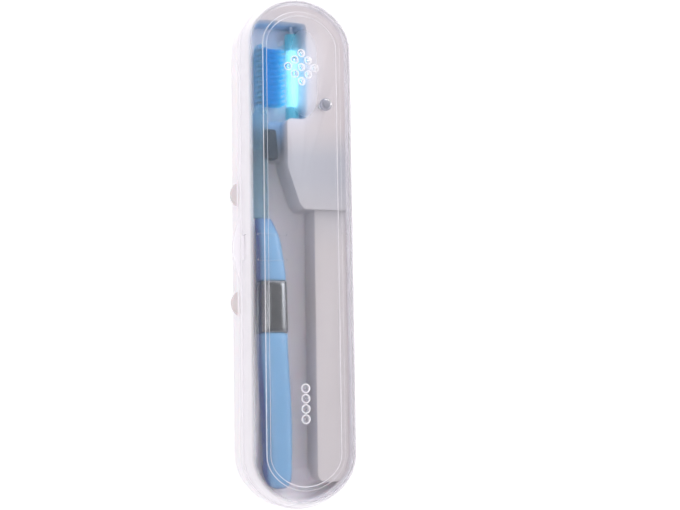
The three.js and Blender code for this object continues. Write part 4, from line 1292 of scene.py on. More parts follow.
def wire(name: str, node: str, points: Sequence[Vector], radius: float, finish: Finishes) -> None:
    """Sets up a round wire along points.

    Args:
        name: The piece's name.
        node: The CAD node that it stands for.
        points: The wire's middle line.
        radius: Its radius.
        finish: Its finish.
    """
    curve = bpy.data.curves.new(name + "_path", "CURVE")
    curve.dimensions = "3D"
    spline = curve.splines.new("POLY")
    spline.points.add(len(points) - 1)
    for point, place in zip(spline.points, points):
        point.co = (*place, 1.0)
    path = bpy.data.objects.new(name + "_path", curve)
    bpy.context.scene.collection.objects.link(path)
    piece = grown(name, wire_tree(name + "_tree", finish), Path=path, Radius=radius)
    bpy.data.objects.remove(path)
    set_up(smooth(piece, WIRE_ANGLE), node, finish)


def lead(name: str, node: str, finish: Finishes, route: Sequence[tuple[float, float, float]]) -> None:
    """Sets up an insulated lead.

    Args:
        name: The piece's name.
        node: The CAD node that it stands for.
        finish: Its finish.
        route: The points that it runs through, in millimetres.
    """
    wire(name, node, smooth_path([Vector(point) * MM for point in route]), LEAD_RADIUS, finish)


# Routes of the leads in millimetres, end to end
LAMP_FOOT_ROUTE = ((0.9, 54.1, 8.6), (1.5, 53.05, 8.6), (4.75, 49.95, 9.8), (6.5, 45, 9.8), (6.5, 40, 9.8))
LAMP_HEAD_ROUTE = (
    (0.9, 93.9, 8.6), (0.9, 98.2, 8.6), (1.5, 100, 9.2), (4.8, 101.2, 9.8), (8.9, 99.4, 9.8),
    (15.4, 92.8, 9.8), (20.3, 88, 9.8), (20.3, 78, 9.8), (20.3, 59, 9.8), (20.3, 45, 9.8), (20.3, 40, 9.8),
)
PLUS_ROUTE = (
    (15.05, 5.2, 9.3), (15.05, 7, 9.3), (12.65, 17.1, 9.3), (11.45, 24, 9.3), (11.45, 28.8, 7.8),
    (11.45, 32.4, 7.8),
)
MINUS_ROUTE = (
    (10.4, -90.7, 12.2), (10.4, -85.1, 12.2), (10.4, -62.7, 12.2), (10.4, -40.3, 12.2), (10.4, -17.9, 12.2),
    (10.4, 5.2, 12.2), (10.4, 7, 12.2), (10.4, 19.5, 11.6), (8.2, 28.8, 7.8), (8.2, 32.4, 7.8),
)


# Sub-assemblies


@dataclass
class Housing:
    """Base tray, inner cover, hinge pin, clip and the screws in the back."""

    edge: float = 0.22 * MM
    cover_edge: float = 0.8 * MM
    door_edge: float = 0.1 * MM
    steel: tuple[str, ...] = (
        "hinge_pin", "cover_screw_head", "cover_screw_bay", "cover_screw_middle", "cover_screw_foot",
    )

    def build(self) -> None:
        """Builds and dresses the housing."""
        refine("base_shell", "base_moulding", self.edge, Finishes.SHELL)
        refine("inner_cover", "cover_moulding", self.cover_edge, Finishes.COVER)
        refine("neck_clip", "clip_moulding", self.edge, Finishes.CLIP)
        refine("battery_door", "door_moulding", self.door_edge, Finishes.SHELL, "door")
        for node in self.steel:
            dress(frame["nodes"][node], Finishes.STEEL)


@dataclass
class Lid:
    """The clear lid, frosted on the inside of its flat top, with its vents, hook, arms and button."""

    outline: CaseOutline = CaseOutline()
    wall: float = 1.5 * MM
    foot: float = 13.1 * MM
    lip_top: float = 15.6 * MM
    lip_step: float = 0.6 * MM
    ledge: float = 0.3 * MM
    shoulder_foot: float = 18.6 * MM
    shoulder_run: float = 4.6 * MM
    shoulder_steps: int = 14
    top: float = 23.6 * MM
    bead_inset: float = 7.7 * MM
    bead_width: float = 1.9 * MM
    bead_rise: float = 0.4 * MM
    bead_slope: float = 0.2 * MM
    tongue_inset: float = 0.9 * MM
    tongue_top: float = 14.3 * MM
    thumb_half: float = 16.1 * MM
    thumb_reach: float = 3 * MM
    thumb_thick: float = 2 * MM
    thumb_steps: int = 60
    root: float = 0.7 * MM
    sunk: float = 0.02 * MM
    hook_half: float = 5 * MM
    window_half: float = 5.25 * MM
    window_height: float = 4.4 * MM
    rib_place: float = 5.2 * MM
    rib_ends: Point = (-19.5 * MM, -7 * MM)
    rib_half: float = 0.35 * MM
    rib_depth: float = 0.8 * MM
    hinge: Point = (26 * MM, 7.4 * MM)
    knuckle_radius: float = 1.8 * MM
    knuckles: Point = (4.4 * MM, 12.6 * MM)
    arm_gap: float = 0.3 * MM
    arm_reach: float = 1.3 * MM
    arm_shoulder: float = 2.3 * MM
    bore: float = 1.0 * MM
    bore_half: float = 30 * MM
    button: Point = (11.3 * MM, 61.3 * MM)
    button_room: float = 2.1 * MM
    overrun: float = 2 * MM
    vent_radius: float = 1.8 * MM
    vent_hole: float = 0.5 * MM
    vent_depth: float = 0.55 * MM
    ring_rise: float = 0.26 * MM
    edge: float = 0.12 * MM

    def build(self) -> None:
        """Builds the lid and its button."""
        lid = self.cup()
        carve(lid, [self.latch_window()], Carving.CUT)
        rings = self.vents("vent_rings", self.vent_ring())
        carve(lid, [self.thumb_lip(), self.hook(), *self.ribs(), *self.arms(), rings], Carving.JOIN)
        dishes = self.vents("vent_dishes", self.vent_dish())
        carve(lid, [dishes, self.button_hole(), self.pin_bore()], Carving.CUT)
        set_up(evened(lid), "lid_shell", Finishes.LID, "lid")
        self.frost(lid)
        refine("push_button", "button_moulding", self.edge, Finishes.BUTTON, "button")

    @property
    def ceiling(self) -> float:
        """Height of the inside of the flat top."""
        return self.top - self.wall

    def cup(self) -> bpy.types.Object:
        """The lid's shell in one section that runs from the ceiling down, out and over to the bead."""
        inner = self.shoulder(self.wall)[::-1]
        outer = self.shoulder(0.0)
        low = filleted([
            inner[-1] + (0.0,),
            (self.lip_step + self.wall, self.tongue_top, 0.15 * MM),
            (self.tongue_inset, self.tongue_top, 0.1 * MM),
            (self.tongue_inset, self.foot, 0.1 * MM),
            (0.0, self.foot, 0.25 * MM),
            (0.0, self.lip_top, 0.3 * MM),
            (self.lip_step + 0.05 * MM, self.lip_top, 0.2 * MM),
            outer[0] + (0.0,),
        ])
        bead_end = self.bead_inset + self.bead_width
        bead_top = self.top + self.bead_rise
        high = filleted([
            outer[-1] + (0.0,),
            (self.bead_inset, self.top, 0.12 * MM),
            (self.bead_inset + self.bead_slope, bead_top, 0.25 * MM),
            (bead_end - self.bead_slope, bead_top, 0.25 * MM),
            (bead_end, self.top, 0.12 * MM),
            (bead_end + 1.0 * MM, self.top, 0.0),
        ])
        held = (inner[0][0] + 0.3 * MM, self.ceiling)
        section = [held, *inner, *low[1:-1], *outer, *high[1:]]
        return skin("lid_moulding", [self.outline.ring(inset, z) for inset, z in section])

    def shoulder(self, depth: float) -> list[Point]:
        """The shoulder's quarter of an ellipse, from the wall up, at a depth in the wall.

        Args:
            depth: How deep inside the outer skin it runs.

        Returns:
            Its (inset, z) points.
        """
        inset = self.lip_step + self.ledge + self.shoulder_run
        run, rise = self.shoulder_run - depth, self.top - self.shoulder_foot - depth
        turns = [math.pi / 2 * i / self.shoulder_steps for i in range(self.shoulder_steps + 1)]
        return [(inset - run * math.cos(turn), self.shoulder_foot + rise * math.sin(turn)) for turn in turns]

    def thumb_lip(self) -> bpy.types.Object:
        """A swelling of the lip for the thumb."""
        wall, half = -self.outline.half_width, self.thumb_half
        wave = [(2 * i / self.thumb_steps - 1) for i in range(self.thumb_steps + 1)]
        outline = [(wall - self.thumb_reach * (1 + math.cos(math.pi * t)) / 2, -t * half) for t in wave]
        outline += [(wall + self.root, -half), (wall + self.root, half)]
        return prism("thumb_lip", outline, Axis.Z, self.foot + self.sunk, self.foot + self.thumb_thick)

    def hook(self) -> bpy.types.Object:
        """The latch hook inside the thumb lip, its outline in millimetres from the wall and the floor."""
        wall = -self.outline.half_width
        line = [
            (2.0, 17.6), (2.0, 14.3), (2.3, 14.0), (2.3, 11.0), (2.1, 10.4), (2.1, 9.6), (2.3, 9.0),
            (3.5, 9.0), (3.5, 16.4), (2.9, 17.6),
        ]
        outline = [(wall + x * MM, z * MM) for x, z in line]
        return prism("hook", outline, Axis.Y, -self.hook_half, self.hook_half)

    def ribs(self) -> list[bpy.types.Object]:
        """Two low ribs under the flat top."""
        low, high = self.ceiling - self.rib_depth, self.ceiling + 0.6 * MM
        made = []
        for y in (-self.rib_place, self.rib_place):
            outline = rectangle(self.rib_ends[0], y - self.rib_half, self.rib_ends[1], y + self.rib_half)
            made.append(prism("rib", outline, Axis.Z, low, high))
        return made

    def arms(self) -> list[bpy.types.Object]:
        """The two hinge arms with their knuckles."""
        x, z = self.hinge
        wall = self.outline.half_width
        line = [
            (wall - self.root, self.foot + self.sunk / 2),
            (wall + self.arm_gap, self.foot - self.arm_gap),
            (wall + self.arm_gap, z),
            (x + self.knuckle_radius, z),
            (wall + self.arm_reach, self.lip_top - self.arm_shoulder),
            (wall, self.lip_top - self.sunk),
            (wall - self.root, self.lip_top - self.sunk),
        ]
        made = []
        for side in (-1, 1):
            low, high = sorted(side * place for place in self.knuckles)
            for outline in (line, circle(self.hinge, self.knuckle_radius)):
                made.append(prism("arm", outline, Axis.Y, low, high))
        return made

    def latch_window(self) -> bpy.types.Object:
        """The opening over the hook."""
        wall, half = -self.outline.half_width, self.window_half
        outline = rectangle(wall - self.thumb_reach, -half, wall + 1.6 * MM, half)
        return prism("latch_window", outline, Axis.Z, self.lip_top, self.lip_top + self.window_height)

    def pin_bore(self) -> bpy.types.Object:
        """The bore for the hinge pin."""
        return prism("pin_bore", circle(self.hinge, self.bore, 24), Axis.Y, -self.bore_half, self.bore_half)

    def button_hole(self) -> bpy.types.Object:
        """The round hole for the button."""
        hole = circle(self.button, self.button_room)
        return prism("button_hole", hole, Axis.Z, self.ceiling - self.overrun, self.top + self.overrun)

    def vent_ring(self) -> bpy.types.Object:
        """The raised ring of one vent."""
        crest, half = 0.86 * self.vent_radius, 0.14 * self.vent_radius
        turns = [2 * math.pi * i / 12 for i in range(12)]
        profile = [(crest + half * math.cos(turn), self.ring_rise * math.sin(turn)) for turn in turns]
        return lathe("vent_ring", profile, ring=True)

    def vent_dish(self) -> bpy.types.Object:
        """What is cut out of one vent: its dish and the hole in its middle."""
        rim = 0.72 * self.vent_radius
        return lathe("vent_dish", [
            (0.0, -2 * self.overrun),
            (self.vent_hole, -2 * self.overrun),
            (self.vent_hole, -self.vent_depth),
            (0.55 * rim, -0.8 * self.vent_depth),
            (0.85 * rim, -0.4 * self.vent_depth),
            (rim, 0.0),
            (rim, self.overrun),
            (0.0, self.overrun),
        ])

    def vents(self, name: str, form: bpy.types.Object) -> bpy.types.Object:
        """One form on each vent's place, set out by nodes.

        Args:
            name: The name of all copies together.
            form: The form, which is removed.

        Returns:
            All copies as one piece.
        """
        field = grown(
            name, vent_tree(), Form=form, Across=3, Head_Pitch=3 * math.sqrt(2) * MM,
            Head_Centre=Vector((0.0, 76.25 * MM, self.top)), Foot_Count=4, Foot_Pitch=4.2 * MM,
            Foot_Start=Vector((0.0, -58.2 * MM, self.top)), Foot_Scale=2.0 / 1.8,
        )
        bpy.data.objects.remove(form)
        return field

    def frost(self, lid: bpy.types.Object) -> None:
        """Gives the inside of the lid its frosted finish."""
        lid.data.materials.append(Finishes.LID_FROST.value.material())
        for face in lid.data.polygons:
            inwards = face.normal.xy.dot(face.center.xy) < -0.1 * face.center.xy.length
            if face.normal.z < 0.1 and (inwards or face.normal.z < -0.5) and face.center.z > self.tongue_top:
                face.material_index = 1


def vent_tree() -> bpy.types.NodeTree:
    """A square field of forms turned on its corner, and a column of slightly larger ones."""
    tree = GeometryTree(
        "vent_field", Form="Object", Across="Int", Head_Pitch="Float", Head_Centre="Vector",
        Foot_Count="Int", Foot_Pitch="Float", Foot_Start="Vector", Foot_Scale="Float",
    )
    form = tree.add("GeometryNodeObjectInfo", inputs={"Object": tree.given("Form")}).outputs["Geometry"]
    across, scale = tree.given("Across"), tree.given("Foot Scale")
    side = (across - 1) * tree.given("Head Pitch")
    inputs = {"Size X": side, "Size Y": side, "Vertices X": across, "Vertices Y": across}
    grid = tree.add("GeometryNodeMeshGrid", inputs=inputs)
    turned = tree.moved(grid.outputs[0], tree.given("Head Centre"), Euler((0, 0, math.pi / 4)))
    column = tree.add("GeometryNodeMeshLine", inputs={
        "Count": tree.given("Foot Count"),
        "Start Location": tree.given("Foot Start"),
        "Offset": tree.vector(y=0.0 - tree.given("Foot Pitch")),
    })
    both = tree.add("GeometryNodeJoinGeometry")
    tree.feed(both.inputs[0], tree.repeated(turned, form))
    larger = tree.vector(scale, scale, 1.0)
    tree.feed(both.inputs[0], tree.repeated(column.outputs[0], form, Scale=larger))
    return tree.finish(both.outputs[0], Finishes.LID)


def bent(value: float, power: float) -> float:
    """A sine or cosine bent towards that of a rounded square, by a power below 1."""
    return math.copysign(abs(value) ** power, value)


@dataclass(frozen=True)
class Section:
    """A rounded-square section across the brush: its place along Y, its middle and its half sizes."""

    y: float
    x: float
    half_x: float
    half_z: float

    def shrunk(self, depth: float) -> "Section":
        """The section made smaller all round by a depth."""
        return Section(self.y, self.x, self.half_x - depth, self.half_z - depth)


@dataclass
class Toothbrush:
    """Handle, metal band, clear neck and bristles."""

    height: float = 8.6 * MM
    sides: int = 48
    neck_power: float = 2.3
    neck_angle: float = 40.0
    grip_power: float = 3.2
    grip_angle: float = 30.0
    band_power: float = 4.0
    handle_foot: float = -99.4 * MM
    handle_head: float = 13.1 * MM
    handle_spans: int = 8
    half_width: float = 6 * MM
    half_depth: float = 6.3 * MM
    tip_x: float = -7.4 * MM
    neck_end_x: float = -12.9 * MM
    band_foot: float = -34.8 * MM
    band_head: float = -13.2 * MM
    band_thick: float = 0.8 * MM
    band_roll: float = 0.25 * MM
    band_spans: int = 12
    gap: float = 0.3 * MM
    step_edge: float = 0.15 * MM
    neck_foot: float = 13.4 * MM
    neck_x: float = -13.95 * MM
    neck_radius: float = 3.3 * MM
    neck_bevel: float = 0.5 * MM
    bevel_steps: int = 4
    taper_length: float = 3.5 * MM
    taper_steps: int = 12
    head_x: float = -14.05 * MM
    head_half_thick: float = 1.35 * MM
    head_half_width: float = 5.2 * MM
    head_foot: float = 61 * MM
    head_tip: float = 88.4 * MM
    head_round: float = 4.4 * MM
    round_steps: int = 14
    round_power: float = 2.2
    thin_share: float = 0.35
    pad_back: float = -12.4 * MM
    pad_front: float = -11.8 * MM
    pad_corner: float = 2.2 * MM
    pad_edge: float = 0.15 * MM
    tuft_rows: int = 11
    tuft_columns: int = 4
    row_pitch: float = 2.25 * MM
    column_pitch: float = 2.2 * MM
    root_length: float = 2.0 * MM
    seed: int = 7

    def build(self) -> None:
        """Builds the brush from its foot to its bristles."""
        for piece, node, finish in (
            (self.handle(), "brush_handle", Finishes.HANDLE),
            (self.band(), "brush_band", Finishes.BAND),
            (self.neck(), "brush_neck", Finishes.NECK),
            (self.pad(), "bristles", Finishes.BRISTLE),
            (self.tufts(), "bristles", Finishes.BRISTLE),
            (self.roots(), None, Finishes.ROOT),
        ):
            set_up(piece, node, finish)

    def ring(self, section: Section, power: float) -> Ring:
        """The points of a section.

        Args:
            section: The section.
            power: 2 for an ellipse, more for a squarer form.

        Returns:
            The points.
        """
        turns = [2 * math.pi * i / self.sides for i in range(self.sides)]
        return [
            Vector((
                section.x + section.half_x * bent(math.sin(turn), 2 / power),
                section.y,
                self.height + section.half_z * bent(math.cos(turn), 2 / power),
            ))
            for turn in turns
        ]

    def body(self, name: str, sections: Sequence[Section], power: float, angle: float) -> bpy.types.Object:
        """A body through sections.

        Args:
            name: The piece's name.
            sections: The sections, from foot to head.
            power: How square they are.
            angle: Edges sharper than this, in degrees, stay sharp.

        Returns:
            The piece.
        """
        return smooth(skin(name, [self.ring(section, power) for section in sections]), angle)

    def handle_at(self, y: float) -> Section:
        """The handle's section at a place along it.

        Args:
            y: The place.

        Returns:
            The section.
        """
        share = (y - self.handle_foot) / (self.handle_head - self.handle_foot)
        aside, across, deep = flowing(HANDLE_SHAPE, min(max(share, 0.0), 1.0))
        return Section(
            y,
            self.tip_x + (self.neck_end_x - self.tip_x) * aside,
            self.half_width * across,
            self.half_depth * deep,
        )

    def handle(self) -> bpy.types.Object:
        """The handle, with a waist under the band."""
        length = self.handle_head - self.handle_foot
        shares = [row[0] for row in HANDLE_SHAPE]
        places = [
            self.handle_foot + length * (low + (high - low) * step / self.handle_spans)
            for low, high in zip(shares, shares[1:])
            for step in range(self.handle_spans)
        ] + [self.handle_head]
        foot, head = self.band_foot - self.gap, self.band_head + self.gap
        waist = [
            (foot - 2 * self.step_edge, 0.0), (foot, self.step_edge), (foot, self.band_thick),
            (head, self.band_thick), (head, self.step_edge), (head + 2 * self.step_edge, 0.0),
        ]
        sections = [self.handle_at(y) for y in places if y < foot - 0.5 * MM]
        sections += [self.handle_at(y).shrunk(depth) for y, depth in waist]
        sections += [self.handle_at(y) for y in places if y > head + 0.5 * MM]
        return self.body("handle_moulding", sections, self.grip_power, self.grip_angle)

    def band(self) -> bpy.types.Object:
        """The metal band, its rims rolled in."""
        low, high, roll = self.band_foot, self.band_head, self.band_roll
        depth = self.band_thick - self.gap
        spans = self.band_spans
        places = [low + roll + (high - low - 2 * roll) * i / spans for i in range(spans + 1)]
        sections = [
            self.handle_at(low).shrunk(roll),
            *(self.handle_at(y) for y in places),
            self.handle_at(high).shrunk(roll),
            self.handle_at(high).shrunk(depth),
            self.handle_at(low).shrunk(depth),
        ]
        rings = [self.ring(section, self.band_power) for section in sections]
        return smooth(skin("band_ring", rings, closed=True), WIRE_ANGLE)

    def neck(self) -> bpy.types.Object:
        """The clear neck and the plate that carries the bristles."""
        sections = [*self.neck_end(), *self.neck_taper(), *self.head_end()]
        return self.body("neck_moulding", sections, self.neck_power, self.neck_angle)

    def neck_end(self) -> list[Section]:
        """The neck's foot, its rim rounded."""
        made = []
        for i in range(self.bevel_steps + 1):
            turn = math.pi / 2 * i / self.bevel_steps
            radius = self.neck_radius - self.neck_bevel * (1 - math.sin(turn))
            y = self.neck_foot + self.neck_bevel * (1 - math.cos(turn))
            made.append(Section(y, self.neck_x, radius, radius))
        return made

    def neck_taper(self) -> list[Section]:
        """The run from the round neck to the flat plate."""
        radius = self.neck_radius
        made = []
        for i in range(self.taper_steps + 1):
            t = i / self.taper_steps
            share = t * t * (3 - 2 * t)
            made.append(Section(
                self.head_foot - self.taper_length * (1 - t),
                self.neck_x + (self.head_x - self.neck_x) * share,
                radius + (self.head_half_thick - radius) * share,
                radius + (self.head_half_width - radius) * share,
            ))
        return made

    def head_end(self) -> list[Section]:
        """The plate's tip, rounded and thinned."""
        made = []
        for i in range(self.round_steps + 1):
            t = 1 - i / self.round_steps
            wide = max(1 - (1 - t) ** self.round_power, 0.0) ** (1 / self.round_power)
            thick = self.thin_share + (1 - self.thin_share) * max(1 - (1 - t) ** 3, 0.0) ** 0.5
            half = self.head_half_thick * thick
            made.append(Section(
                self.head_tip - self.head_round * t,
                self.head_x + self.head_half_thick - half,
                half,
                self.head_half_width * max(wide, 0.2),
            ))
        return made

    def pad(self) -> bpy.types.Object:
        """The flat pad that the tufts stand on."""
        low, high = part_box("bristles")
        corner = self.pad_corner
        half = (high.z - low.z) / 2 - corner
        foot, head = low.y + corner, high.y - corner
        outline = []
        for i, (y, z) in enumerate(((head, half), (foot, half), (foot, -half), (head, -half))):
            for turn in (math.pi / 2 * (i + step / 8) for step in range(9)):
                outline.append((y + corner * math.cos(turn), self.height + z + corner * math.sin(turn)))
        pad = prism("bristle_pad", outline, Axis.X, self.pad_back, self.pad_front)
        return smooth(eased(pad, self.pad_edge))

    def field(self, name: str, foot: float, **values: Any) -> bpy.types.Object:
        """Tufts in rows and columns, grown by nodes.

        Args:
            name: The piece's name.
            foot: Where along X the strands have their middle.
            values: What else the tree takes, by name.

        Returns:
            The tufts.
        """
        low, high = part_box("bristles")
        tufts = grown(
            name, bristle_tree(name + "_field"), Rows=self.tuft_rows, Columns=self.tuft_columns,
            Row_Pitch=self.row_pitch, Column_Pitch=self.column_pitch, Seed=self.seed,
            Middle=Vector((foot, (low.y + high.y) / 2, self.height)), **values,
        )
        return smooth(tufts, WIRE_ANGLE)

    def tufts(self) -> bpy.types.Object:
        """The tufts' strands."""
        return self.field(
            "bristle_tufts", self.pad_front - 0.1 * MM, Strands=26, Tuft_Radius=0.8 * MM,
            Strand_Length=9.55 * MM, Strand_Radius=0.1 * MM, Wave=0.5 * MM, Point=0.4,
        )

    def roots(self) -> bpy.types.Object:
        """The folded roots of the tufts, seen inside the clear plate."""
        return self.field(
            "tuft_roots", self.pad_back - 0.5 * MM - self.root_length, Strands=1, Tuft_Radius=0.0,
            Strand_Length=self.root_length, Strand_Radius=0.55 * MM, Wave=0.0, Point=0.0,
        )


# The handle from its foot end: share of its length, its sideways run, its half width and half depth
HANDLE_SHAPE = (
    (0.0, 0.0, 0.3, 0.28),
    (0.003, 0.0, 0.5, 0.46),
    (0.016, 0.01, 0.76, 0.78),
    (0.047, 0.02, 0.88, 0.95),
    (0.11, 0.03, 0.92, 0.99),
    (0.25, 0.06, 0.965, 1.0),
    (0.572, 0.355, 1.0, 1.0),
    (0.772, 0.38, 0.943, 1.0),
    (0.884, 0.51, 0.817, 0.88),
    (0.94, 0.66, 0.735, 0.74),
    (0.97, 0.82, 0.66, 0.6),
    (1.0, 1.0, 0.53, 0.5),
)


def flowing(rows: Sequence[Sequence[float]], place: float) -> list[float]:
    """Values between rows of (place, values), joined by smooth lines that never overshoot.

    Args:
        rows: The rows, by rising place.
        place: Where the values are wanted.

    Returns:
        One value for each column after the first.
    """
    last = len(rows) - 1
    i = min(max(sum(1 for row in rows if row[0] <= place) - 1, 0), last - 1)
    width = rows[i + 1][0] - rows[i][0]
    t = (place - rows[i][0]) / width

    def steepness(at: int, column: int) -> float:
        """The slope from one row to the next."""
        return (rows[at + 1][column] - rows[at][column]) / (rows[at + 1][0] - rows[at][0])

    def slope(at: int, column: int) -> float:
        """The line's slope at a row, flat where the values turn round."""
        if at in (0, last):
            return steepness(min(at, last - 1), column)
        before, after = steepness(at - 1, column), steepness(at, column)
        return 0.0 if before * after <= 0 else 2 * before * after / (before + after)

    return [
        rows[i][column] * (2 * t**3 - 3 * t**2 + 1)
        + slope(i, column) * width * (t**3 - 2 * t**2 + t)
        + rows[i + 1][column] * (3 * t**2 - 2 * t**3)
        + slope(i + 1, column) * width * (t**3 - t**2)
        for column in range(1, len(rows[0]))
    ]


def bristle_tree(name: str) -> bpy.types.NodeTree:
    """Rows and columns of tufts whose strands point along +X.

    Args:
        name: The tree's name.

    Returns:
        The tree.
    """
    tree = GeometryTree(
        name, Rows="Int", Columns="Int", Row_Pitch="Float", Column_Pitch="Float", Strands="Int",
        Tuft_Radius="Float", Strand_Length="Float", Strand_Radius="Float", Wave="Float", Point="Float",
        Middle="Vector", Seed="Int",
    )
    rows, columns, row_pitch = tree.given("Rows"), tree.given("Columns"), tree.given("Row Pitch")
    count, radius, length = tree.given("Strands"), tree.given("Strand Radius"), tree.given("Strand Length")
    seed = tree.given("Seed")
    grid = tree.add("GeometryNodeMeshGrid", inputs={
        "Size X": (columns - 1) * tree.given("Column Pitch"),
        "Size Y": (rows - 1) * row_pitch,
        "Vertices X": columns,
        "Vertices Y": rows,
    })
    strand = tree.add("GeometryNodeMeshCone", inputs={
        "Vertices": 6, "Radius Top": radius * 0.55, "Radius Bottom": radius, "Depth": length,
    })
    number = Value(tree, tree.add("GeometryNodeInputIndex").outputs[0])
    turn = number * GOLDEN_TURN
    out = (number + 0.5) / count
    reach = out**0.5 * tree.given("Tuft Radius")
    tuft = tree.add("GeometryNodeSetPosition", inputs={
        "Geometry": tree.add("GeometryNodePoints", inputs={"Count": count}).outputs[0],
        "Position": tree.vector(reach * turn.cosine(), reach * turn.sine()),
    })
    lean = tree.add("FunctionNodeRandomValue", {"data_type": "FLOAT_VECTOR"}, {
        0: Vector((-0.05, -0.05, 0.0)), 1: Vector((0.05, 0.05, 6.2)), "Seed": seed,
    })
    stretch = tree.add("FunctionNodeRandomValue", {"data_type": "FLOAT"}, {2: 0.965, 3: 1.0, "Seed": seed})
    longer = Value(tree, stretch.outputs[1]) - out * tree.given("Point")
    strands = tree.repeated(
        tuft.outputs[0], strand.outputs[0], Rotation=lean.outputs[0], Scale=tree.vector(1.0, 1.0, longer),
    )
    _, place, _ = tree.split(tree.add("GeometryNodeInputPosition").outputs[0])
    row = place / row_pitch + (rows - 1) / 2
    crest = (row * (2 * math.pi / 3)).cosine()
    short = (1 - crest) * 0.5 * tree.given("Wave") / length
    field = tree.repeated(grid.outputs[0], strands, Scale=tree.vector(1.0, 1.0, 1 - short))
    placed = tree.moved(field, tree.given("Middle"), Euler((0, math.pi / 2, 0)))
    return tree.finish(placed, Finishes.BRISTLE)


@dataclass(frozen=True)
class Softbox:
    """A rectangular lamp. It shines towards the frame's origin, or straight down where it hangs level."""

    name: str
    place: tuple[float, float, float]
    size: Point
    power: float
    hidden_from: tuple[str, ...] = ("glossy",)
    colour: tuple[float, float, float] = (1.0, 1.0, 1.0)
    level: bool = False

    def hang(self) -> None:
        """Puts the lamp into the scene."""
        data = bpy.data.lights.new(self.name, "AREA")
        data.shape = "RECTANGLE"
        data.size, data.size_y = self.size
        data.color = self.colour
        data.energy = self.power
        lamp = bpy.data.objects.new(self.name, data)
        spot = Vector(self.place)
        lamp.matrix_world = Matrix.Translation(spot)
        if not self.level:
            lamp.matrix_world @= (-spot).to_track_quat("-Z", "Y").to_matrix().to_4x4()
        for rays in self.hidden_from:
            setattr(lamp, f"visible_{rays}", False)
        bpy.context.scene.collection.objects.link(lamp)


@dataclass
class Lamp:
    """The lit tube in its two boots, with its leads."""

    x: float = 0.9 * MM
    z: float = 8.6 * MM
    radius: float = 2.4 * MM
    dome: float = 1.6 * MM
    dome_steps: int = 10
    edge: float = 0.15 * MM
    glow_aside: float = 7 * MM
    glow_height: float = 21.5 * MM
    glow_width: float = 20 * MM
    glow_power: float = 0.0022

    def build(self) -> None:
        """Builds the tube and what holds it."""
        set_up(self.tube(), "uv_lamp", Finishes.LAMP)
        refine("lamp_boot_head", "boot_head", self.edge, Finishes.BOOT)
        refine("lamp_boot_foot", "boot_foot", self.edge, Finishes.BOOT)
        lead("lead_lamp_foot", "lamp_lead_foot", Finishes.LEAD_WHITE, LAMP_FOOT_ROUTE)
        lead("lead_lamp_head", "lamp_lead_head", Finishes.LEAD_WHITE, LAMP_HEAD_ROUTE)
        self.glow()

    def tube(self) -> bpy.types.Object:
        """The glass tube with domed ends."""
        low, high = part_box("uv_lamp")
        turns = [math.pi / 2 * i / self.dome_steps for i in range(self.dome_steps + 1)]
        end = [(self.radius * math.sin(turn), self.dome * (1 - math.cos(turn))) for turn in turns]
        length = high.y - low.y
        tube = lathe("lamp_tube", end + [(r, length - z) for r, z in reversed(end)])
        return laid(tube, (self.x, high.y, self.z), math.pi / 2)

    def glow(self) -> None:
        """The lamp's light thrown back by the frosted lid, seen only by what it lights."""
        low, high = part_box("uv_lamp")
        place = (self.x - self.glow_aside, (low.y + high.y) / 2, self.glow_height)
        Softbox(
            "lamp_glow", place, (self.glow_width, high.y - low.y), self.glow_power,
            ("camera", "glossy", "transmission"), (0.12, 0.5, 1.0), level=True,
        ).hang()


def spring_tree() -> bpy.types.NodeTree:
    """A tapering coil of round wire that rises along +Y."""
    tree = GeometryTree(
        "tapering_coil", Turns="Float", Foot_Radius="Float", Tip_Radius="Float", Rise="Float",
        Wire_Radius="Float", Foot="Vector",
    )
    spiral = tree.add("GeometryNodeCurveSpiral", inputs={
        "Resolution": 48,
        "Rotations": tree.given("Turns"),
        "Start Radius": tree.given("Foot Radius"),
        "End Radius": tree.given("Tip Radius"),
        "Height": tree.given("Rise"),
    })
    coil = tree.tube(spiral.outputs[0], tree.given("Wire Radius"))
    placed = tree.moved(coil, tree.given("Foot"), Euler((-math.pi / 2, 0, 0)))
    return tree.finish(placed, Finishes.NICKEL)


